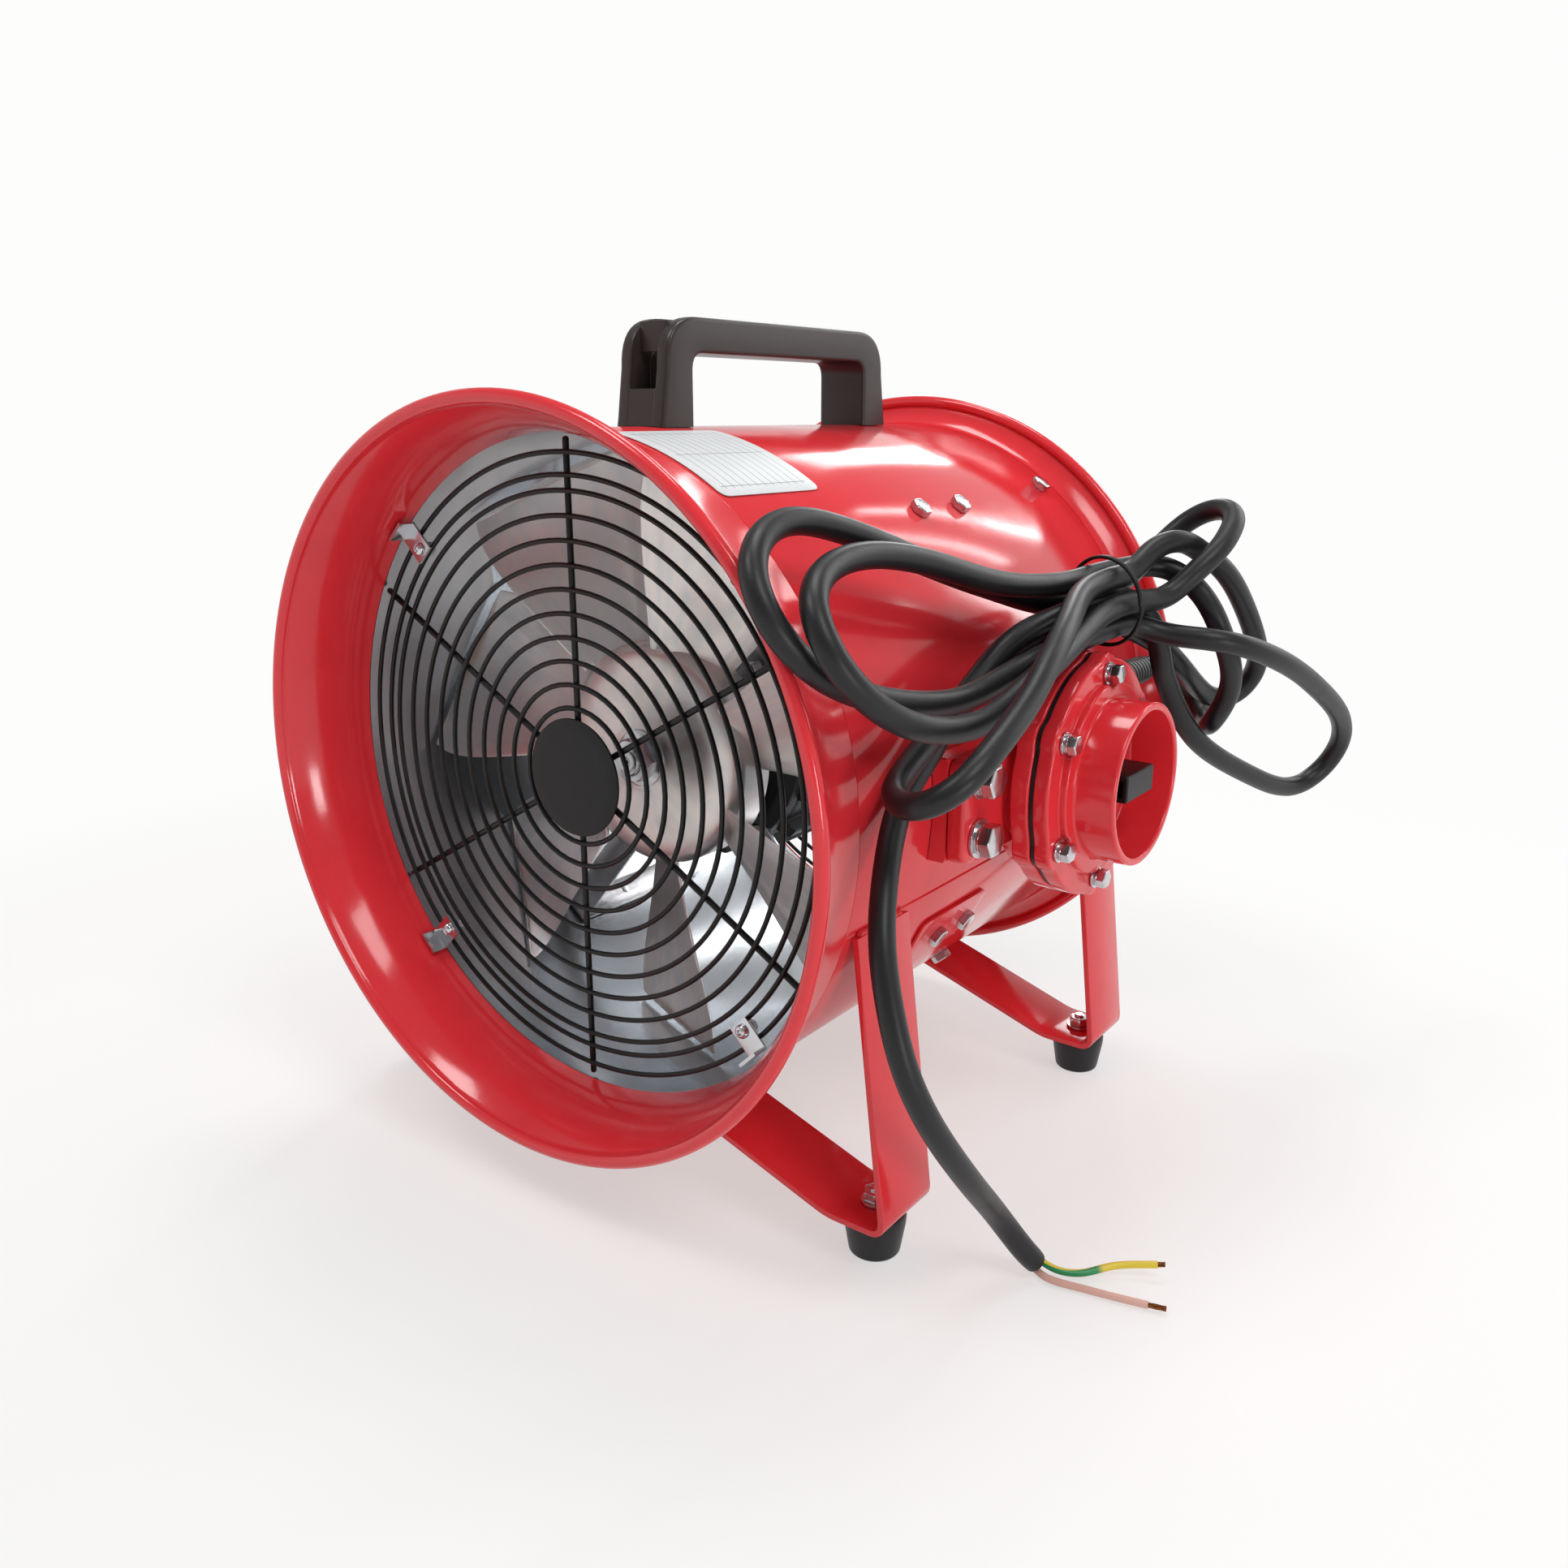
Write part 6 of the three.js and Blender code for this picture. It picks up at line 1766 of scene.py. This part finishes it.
@dataclass
class SwitchBox:
    """The round cast switch box on its saddle, with its gasket, cover, bolts and gland.

    Places along its axis are radii from the fan axis, because the box points straight away from it.
    """

    along: float = 188.0
    radius: float = 46.0
    saddle_seat: float = 153.85
    saddle_top: float = 160.3
    back: float = 160.6
    neck: float = 173.0
    flange: float = 181.5
    gasket: Pair = (181.8, 183.6)
    cover_back: float = 183.9
    cover_face: float = 190.9
    step_face: float = 194.5
    collar_face: float = 212.9
    flange_radius: float = 54.6
    step_radius: float = 44.0
    wall_inside: float = 38.0
    circle_radius: float = 48.0
    lobe: float = 9.0
    washer_room: float = 6.2
    ear_reach: float = 87.0
    ear_low: float = -24.0
    ear_high: float = 22.0
    segments: int = 216

    def place(self) -> Place:
        """Y points out of the box, X to the front and Z up."""
        return Place((0, -1, 0), (1, 0, 0), (0, 0, 1), (0, self.along, AXIS_HEIGHT))

    def past_bolt(self, radius: float, side: int, missed: float) -> Array:
        """Where a ray from the middle meets a circle round the nearest bolt.

        At d from the bolt's own angle that is c cos d ± √(ρ² − c² sin² d).

        Args:
            radius: of the circle round the bolt.
            side: 1 for where the ray leaves it, −1 for where it enters it.
            missed: the value for a ray that misses it.

        Returns:
            One distance for each angle.
        """
        turn = (turns(self.segments) - QUARTER + SIXTH / 2) % SIXTH - SIXTH / 2
        under = radius ** 2 - (self.circle_radius * np.sin(turn)) ** 2
        met = self.circle_radius * np.cos(turn) + side * np.sqrt(np.maximum(under, 0))
        return np.where(under > 0, met, missed)

    def lobed(self, inset: float = 0.0) -> Array:
        """Radius of the flange's outline: j·log(Σ exp(r/j)) over its circle and its lobes.

        Args:
            inset: distance drawn in.

        Returns:
            One radius for each angle.
        """
        both = np.stack([np.full(self.segments, self.flange_radius), self.past_bolt(self.lobe, 1, 0.0)])
        join, level = 1.2, 40
        soft = np.log(np.exp(both / join - level).sum(axis=0)) * join + join * level
        return np.minimum(soft, both.max(axis=0) + 0.4) - inset

    def ring(self, levels: list[tuple[float | Array, float]], soft: float | list[float],
             ends: Ends = Ends.JOINED) -> Surface:
        """A turned casting on the box's axis, whose radius may change with the angle."""
        rounded = fillet(levelled(levels, self.segments), soft, 4, closed=ends is Ends.JOINED)
        return self.place().put(revolve(rounded, self.segments, ends))

    def saddle(self) -> Piece:
        """The pad between box and barrel: flat above, and √(seat² − z²) from the fan axis below.

        Returns:
            The piece.
        """
        edge = 0.8
        low, high, top = self.ear_low, self.ear_high, self.saddle_top
        z = np.linspace(low, high, 25)
        under = columns(z, np.sqrt(self.saddle_seat ** 2 - z ** 2))
        over = [[high, top - edge], [high - edge, top], [low + edge, top], [low, top - edge]]
        section = np.vstack([under, over])
        x = np.concatenate([[-self.ear_reach, -self.ear_reach + edge], np.linspace(-80, 80, 9),
                            [self.ear_reach - edge, self.ear_reach]])
        shrink = np.where(np.abs(x) > self.ear_reach - edge / 2, 0.975, 1.0)
        middle = np.array([(low + high) / 2, 157.0])
        shape = middle + (section - middle) * columns(shrink, np.ones_like(shrink))[:, None]
        rows = columns(np.repeat(x[:, None], len(section), axis=1), shape[..., 1], shape[..., 0])
        pad = self.place().put(skin(rows, Ends.CAPPED))
        return make_piece("switch_saddle_pad", [pad], ENAMEL, ("switch_box_saddle",))

    def body(self) -> Piece:
        """The box: ears, a wall that spreads into them in a fillet, the lobed flange and the gland boss.

        Returns:
            The piece.
        """
        over_ear = 1 / (1 + np.exp((np.abs(self.radius * np.sin(turns(self.segments))) - 17.0) / 2.0))
        low, mid, top = (self.radius + reach * over_ear for reach in (7.5, 3.0, 0.8))
        lobed, floor = self.lobed(), self.back + 5.0
        casting = self.ring([
            (1.0, self.back), (low, self.back), (low, 168.0), (mid, 169.3), (top, 171.4),
            (self.radius, self.neck), (lobed, self.neck), (lobed, self.flange),
            (self.wall_inside, self.flange), (self.wall_inside, floor), (1.0, floor),
        ], [0.5, 1.0, 1.2, 2.0, 1.6, 1.5, 1.1, 1.1, 0.8, 2.0, 0.5], Ends.CAPPED)
        outline = long_box(2 * self.ear_reach, self.ear_high - self.ear_low, 7.0)
        ears = plate(outline, self.back, 168.6, 1.6).moved(0.0, 0.0, (self.ear_low + self.ear_high) / 2)
        boss = turned([(5.6, 200.0), (8.4, 200.0), (8.4, 242.8), (7.6, 244.0), (5.6, 244.0)], 0.5, 40)
        parts = [casting, self.place().put(ears), on_gland().put(boss)]
        return make_piece("switch_box_casting", parts, ENAMEL, ("switch_box_body",), sharp=40.0)

    def cover(self) -> list[Piece]:
        """The gasket, and the cover with its collar and its step, scalloped where the washers need room.

        Returns:
            The pieces.
        """
        edge, (low, high) = self.lobed(0.9), self.gasket
        inside = self.wall_inside
        gasket = self.ring([(inside, low), (edge, low), (edge, high), (inside, high)], 0.3)
        lobed, face = self.lobed(), self.cover_face
        step = np.minimum(self.past_bolt(self.washer_room, -1, self.step_radius), self.step_radius)
        cover = self.ring([
            (4.5, self.cover_back), (lobed, self.cover_back), (lobed, face), (step + 0.05, face),
            (step, self.step_face), (37.0, self.step_face), (37.0, self.collar_face),
            (33.4, self.collar_face), (33.4, face), (4.5, face),
        ], [0.4, 0.7, 1.5, 0.7, 1.1, 1.6, 1.4, 1.2, 1.5, 0.5])
        return [
            make_piece("switch_gasket_ring", [gasket], RUBBER, ("switch_box_gasket",)),
            make_piece("switch_cover_casting", [cover], ENAMEL, ("switch_box_cover",), sharp=40.0),
        ]

    def bolts(self) -> list[Piece]:
        """Six cover bolts and four saddle bolts, each with its washers.

        Returns:
            The pieces.
        """
        bolts = []
        for i in range(6):
            angle = np.radians(90.0 + 60.0 * i)
            spot = (self.circle_radius * np.cos(angle), 191.2, self.circle_radius * np.sin(angle))
            bolts.append((f"cover_bolt_{i + 1}", bolt(2.5, 4.6, 4.0, 13.0, 5.2, 2.6), spot))
        for i, (x, z) in enumerate([(-74.0, -14.0), (-74.0, 12.0), (74.0, -14.0), (74.0, 12.0)]):
            bolts.append((f"saddle_bolt_{i + 1}", bolt(4.0, 7.6, 5.6, 12.0, 8.6, 3.4), (x, 168.9, z)))
        made = []
        for name, parts, spot in bolts:
            parts = self.place().put_all([part.moved(*spot) for part in parts])
            made.append(make_piece(f"{name}_set", parts, ZINC, (name,)))
        return made

    def gland(self) -> list[Piece]:
        """The gland's nut and the ribbed sleeve, which narrows along the cord.

        Returns:
            The pieces.
        """
        nut = hex_nut(9.5, 5.75, [(0.93, 244.3), (1.0, 245.1), (1.0, 252.5), (0.9, 254.2), (0.84, 256.3)])
        share = np.linspace(0, 1, 79)
        ribs = 8.0 - 1.3 * share - 0.55 * (np.abs(np.sin(np.pi * share * 6.5)) < 0.45)
        outer = columns(ribs, 256.8 + 25.6 * share)
        edge = np.vstack([[[7.7, 256.6]], outer, [[6.5, 282.6], [5.6, 282.6], [5.6, 256.6]]])
        sleeve = on_gland().put(revolve(edge, 40))
        return [
            make_piece("gland_hex_nut", [on_gland().put(nut)], BLACK_PLASTIC, ("cable_gland_nut",)),
            make_piece("gland_sleeve", [sleeve], RUBBER, ("cord_sleeve",)),
        ]

    def build(self) -> list[Piece]:
        """Makes the box's pieces."""
        return [self.saddle(), self.body(), *self.cover(), *self.bolts(), *self.gland()]


@dataclass
class SwitchLever:
    """The turning lever: a low round base and a hollow square grip."""

    base: float = 12.0
    grip: float = 30.0
    width: float = 12.5
    slot: Pair = (7.8, 4.8)
    slot_middle: float = 205.4
    low: float = 191.4
    grip_low: float = 193.6
    high: float = 209.9
    edge: float = 0.8

    def build(self) -> list[Piece]:
        """Makes the lever: the grip is a ring of rounded rectangles round its slot, joined end to end.

        Returns:
            The pieces.
        """
        base = turned([
            (4.3, self.low), (self.base, self.low), (self.base - 0.6, 194.6), (9.5, 195.9), (4.3, 195.9),
        ], 0.7, 64)
        middle, half = (self.high + self.grip_low) / 2, self.grip / 2
        outer = rectangle(self.width, self.high - self.grip_low, 1.4)
        inner = rectangle(*self.slot, 0.4) + np.array([0.0, self.slot_middle - middle])
        rings = [
            (outer * 0.93, -half), (outer, -half + self.edge), (outer, 0.0), (outer, half - self.edge),
            (outer * 0.93, half), (inner, half), (inner, half - 0.6), (inner, -half + 0.6), (inner, -half),
        ]
        rows = np.stack([columns(np.full(len(ring), x), middle + ring[:, 1], ring[:, 0])
                         for ring, x in rings])
        parts = SwitchBox().place().put_all([base, skin(rows)])
        return [make_piece("switch_lever_grip", parts, BLACK_PLASTIC, ("switch_knob",), Body.LEVER)]


# Handle


@dataclass
class Handle:
    """The moulded handle: an arch of channel section, its open side outwards, with solid feet."""

    front: float = 93.5
    rear: float = 277.5
    top: float = 201.0
    width: float = 29.0
    cheek: float = 6.6
    bar: float = 15.5
    leg: float = 22.0
    web: float = 5.0
    solid_foot: float = 16.0
    foot_rows: int = 4
    corner: float = 22.0
    inner_corner: float = 8.0
    taper: float = 4.0
    sink: float = 2.0
    rib_inset: float = 12.0
    rib_drop: float = 15.0

    def side(self, leg: Array, x: float, top: float, corner: float) -> Array:
        """One outline up a leg, round a quadratic corner and along half the bar.

        Args:
            leg: (points, 2) of the leg.
            x: where the leg ends.
            top: height of the bar.
            corner: size of the corner.

        Returns:
            (points, 2) of place along the fan axis and height over it.
        """
        t = np.linspace(0, 1, 12)[1:, None]
        start, sharp, stop = (np.array(p) for p in ((x, top - corner), (x, top), (x + corner, top)))
        turn = (1 - t) ** 2 * start + 2 * t * (1 - t) * sharp + t ** 2 * stop
        middle = np.array([(self.front + self.rear) / 2, top])
        return np.vstack([leg, turn, turn[-1] + (middle - turn[-1]) * np.linspace(0, 1, 7)[1:, None]])

    def half_arch(self) -> tuple[Array, Array]:
        """Matching points of the outer and inner outline, from the front foot to the middle of the bar.

        Returns:
            Both outlines.
        """
        low, ledge = CASING_SEAT - self.sink, CASING_SEAT + self.solid_foot
        shoulder = self.top - self.corner
        up = np.concatenate([
            low + (ledge - low) * np.array([0.0, 0.3, 0.6, 1.0]), ledge + np.array([0.3, 4.0]),
            np.linspace(ledge + 8.0, shoulder, 5),
        ])
        share = (up - low) / (shoulder - low)
        inner_x, high = self.front + self.leg, self.top - self.bar
        inner_up = np.minimum(up, low + (high - self.inner_corner - low) * share)
        inner_up[:6] = up[:6]
        outer_leg = columns(self.front + self.taper * share, up)
        inner_leg = columns(np.full(len(up), inner_x), inner_up)
        return (self.side(outer_leg, self.front + self.taper, self.top, self.corner),
                self.side(inner_leg, inner_x, high, self.inner_corner))

    def build(self) -> list[Piece]:
        """Skins the arch: at each station a channel is drawn between the inner and the outer outline.

        The channel's floor lies one web above the inner outline, and just under the outer one where the
        foot is solid. The lowest ring follows the barrel: z = √(seat² − x²).

        Returns:
            The pieces.
        """
        mirror, shift = np.array([-1.0, 1.0]), np.array([self.front + self.rear, 0.0])
        outer, inner = (np.vstack([half, (half[:-1] * mirror + shift)[::-1]]) for half in self.half_arch())
        depth = np.linalg.norm(outer - inner, axis=1)
        station = np.arange(len(depth))
        solid = (station < self.foot_rows) | (station >= len(depth) - self.foot_rows)
        floor = np.where(solid, depth - 0.12, self.web)
        half, slot = self.width / 2, self.width / 2 - self.cheek
        corners = levelled([
            (-half, 0.0), (half, 0.0), (half, depth), (slot, depth), (slot, floor), (-slot, floor),
            (-slot, depth), (-half, depth),
        ], len(depth))
        section = fillet(corners, np.array([2.0, 2.0, 2.2, 0.7, 0.7, 0.7, 0.7, 2.2]), 4)
        ahead = (outer - inner) / depth[:, None]
        plan = inner[:, None] + ahead[:, None] * section[..., 1:]
        rows = columns(section[..., 0], plan[..., 0], plan[..., 1])
        rows[[0, -1], :, 2] = np.sqrt(CASING_SEAT ** 2 - rows[0, :, 0] ** 2)
        parts = [skin(rows, Ends.CAPPED).moved(0.0, 0.0, AXIS_HEIGHT)]
        rib = plate(long_box(2 * slot + 1.0, 1.6, 0.3, 2), 0.0, 13.0, 0.3)
        parts += [upright(0.0, y, AXIS_HEIGHT + self.top - self.rib_drop).put(rib)
                  for y in (self.front + self.rib_inset, self.rear - self.rib_inset)]
        return [make_piece("handle_arch", parts, HANDLE_PLASTIC, ("carry_handle",), sharp=42.0)]


# Stands and feet


@dataclass
class Stands:
    """Two straps bent from flat bar, welded to the barrel, on four rubber feet."""

    fronts: Pair = (51.0, 263.0)
    strap: float = 39.0
    sheet: float = 3.0
    leg_top: float = 154.0
    leg_half: float = 163.0
    flat_half: float = 136.0
    meet_angle: float = 17.8
    weld_inset: float = 3.0
    weld_turn: float = 0.03
    foot_half: float = 149.0
    foot_height: float = 20.4
    thread: Pair = (22.0, 30.6)

    def leg_end(self) -> float:
        """How far from the middle a leg's top touches the barrel: √(seat² − drop²)."""
        return float(np.sqrt(CASING_SEAT ** 2 - (AXIS_HEIGHT - self.leg_top) ** 2))

    def line(self) -> list[Pair]:
        """The strap's upper face: leg, flat, incline, arc under the barrel, and the same again.

        Returns:
            (x, z) points from left to right.
        """
        floor = self.foot_height + self.sheet
        angle = np.radians(np.linspace(-self.meet_angle, self.meet_angle, 13))
        arc = list(zip(CASING_SEAT * np.sin(angle), AXIS_HEIGHT - CASING_SEAT * np.cos(angle)))
        side = [(self.flat_half, floor), (self.leg_half, floor), (self.leg_end(), self.leg_top)]
        return [(-x, z) for x, z in side[::-1]] + arc + side

    def build(self) -> list[Piece]:
        """Makes both straps with their weld beads, and the feet.

        Returns:
            The pieces.
        """
        made = []
        half = self.strap / 2
        meet = np.radians(self.meet_angle) + self.weld_turn
        beads = [(self.leg_end() + 0.6, self.leg_top + 0.4, 1.9),
                 (CASING_SEAT * np.sin(meet), AXIS_HEIGHT - CASING_SEAT * np.cos(meet) - 0.3, 1.6)]
        for tag, front in zip(("front", "rear"), self.fronts):
            middle = front + half
            ends = front + self.weld_inset, middle + half - self.weld_inset
            parts = [bent_bar(self.line(), self.sheet, half, 5.0, 7.0, 0.6).moved(0.0, middle, 0.0)]
            for side in (-1, 1):
                for k, (x, z, size) in enumerate(beads):
                    run = np.array([[side * x, y, z] for y in ends])
                    parts.append(weld_bead(run, size, 3 + k + side))
            made.append(make_piece(f"{tag}_strap", parts, ENAMEL, (f"{tag}_stand",), sharp=40.0))
            for word, side in (("right", 1), ("left", -1)):
                made += self.foot(f"foot_{tag}_{word}", side * self.foot_half, middle)
        return made

    def foot(self, name: str, x: float, y: float) -> list[Piece]:
        """A tapered rubber foot with its moulded-in stud, washer and nut.

        Args:
            name: of the foot's node.
            x: its place across.
            y: its place along the fan axis.

        Returns:
            The pieces.
        """
        cone = turned([
            (0.6, 4.0), (6.0, 4.0), (6.6, 0.0), (10.6, 0.0), (11.5, 0.9), (14.0, 16.0), (14.0, 20.1),
            (0.6, 20.1),
        ], [0.2, 0.8, 0.5, 0.8, 0.8, 2.0, 1.2, 0.2], 48, Ends.CAPPED)
        run = np.linspace(*self.thread, 60)
        thread = 2.85 - 0.3 * np.abs(run % 1.0 - 0.5) * 2
        edge = np.vstack([[[0.3, 20.0], [2.8, 20.0]], columns(thread, run), [[2.0, 31.2], [0.3, 31.2]]])
        parts = [revolve(edge, 24, Ends.CAPPED), disc(6.6, 23.7, 25.1, 0.3), hex_head(5.6, 25.1, 29.7)]
        return [
            make_piece(f"{name}_rubber", [upright(x, y).put(cone)], RUBBER, (name,)),
            make_piece(f"{name}_stud", upright(x, y).put_all(parts), ZINC),
        ]


def main() -> None:
    """Builds the studio, then the cord, then every sub-assembly, and reports each piece."""
    logging.basicConfig(level=logging.INFO, format="%(message)s")
    studio = Studio()
    studio.camera()
    assemblies = (PowerCord(), Casing(), Grilles(), FanWheel(), Motor(), SwitchBox(), SwitchLever(),
                  Handle(), Stands())
    for assembly in assemblies:
        for piece in assembly.build():
            LOG.info("%s: %s, %d faces", type(assembly).__name__, piece.name, len(piece.data.polygons))
    LOG.info("dressed: %s", ", ".join(dress_inner_nodes()))
    studio.light()
    studio.floor()
    studio.world()


if __name__ == "__main__":
    main()
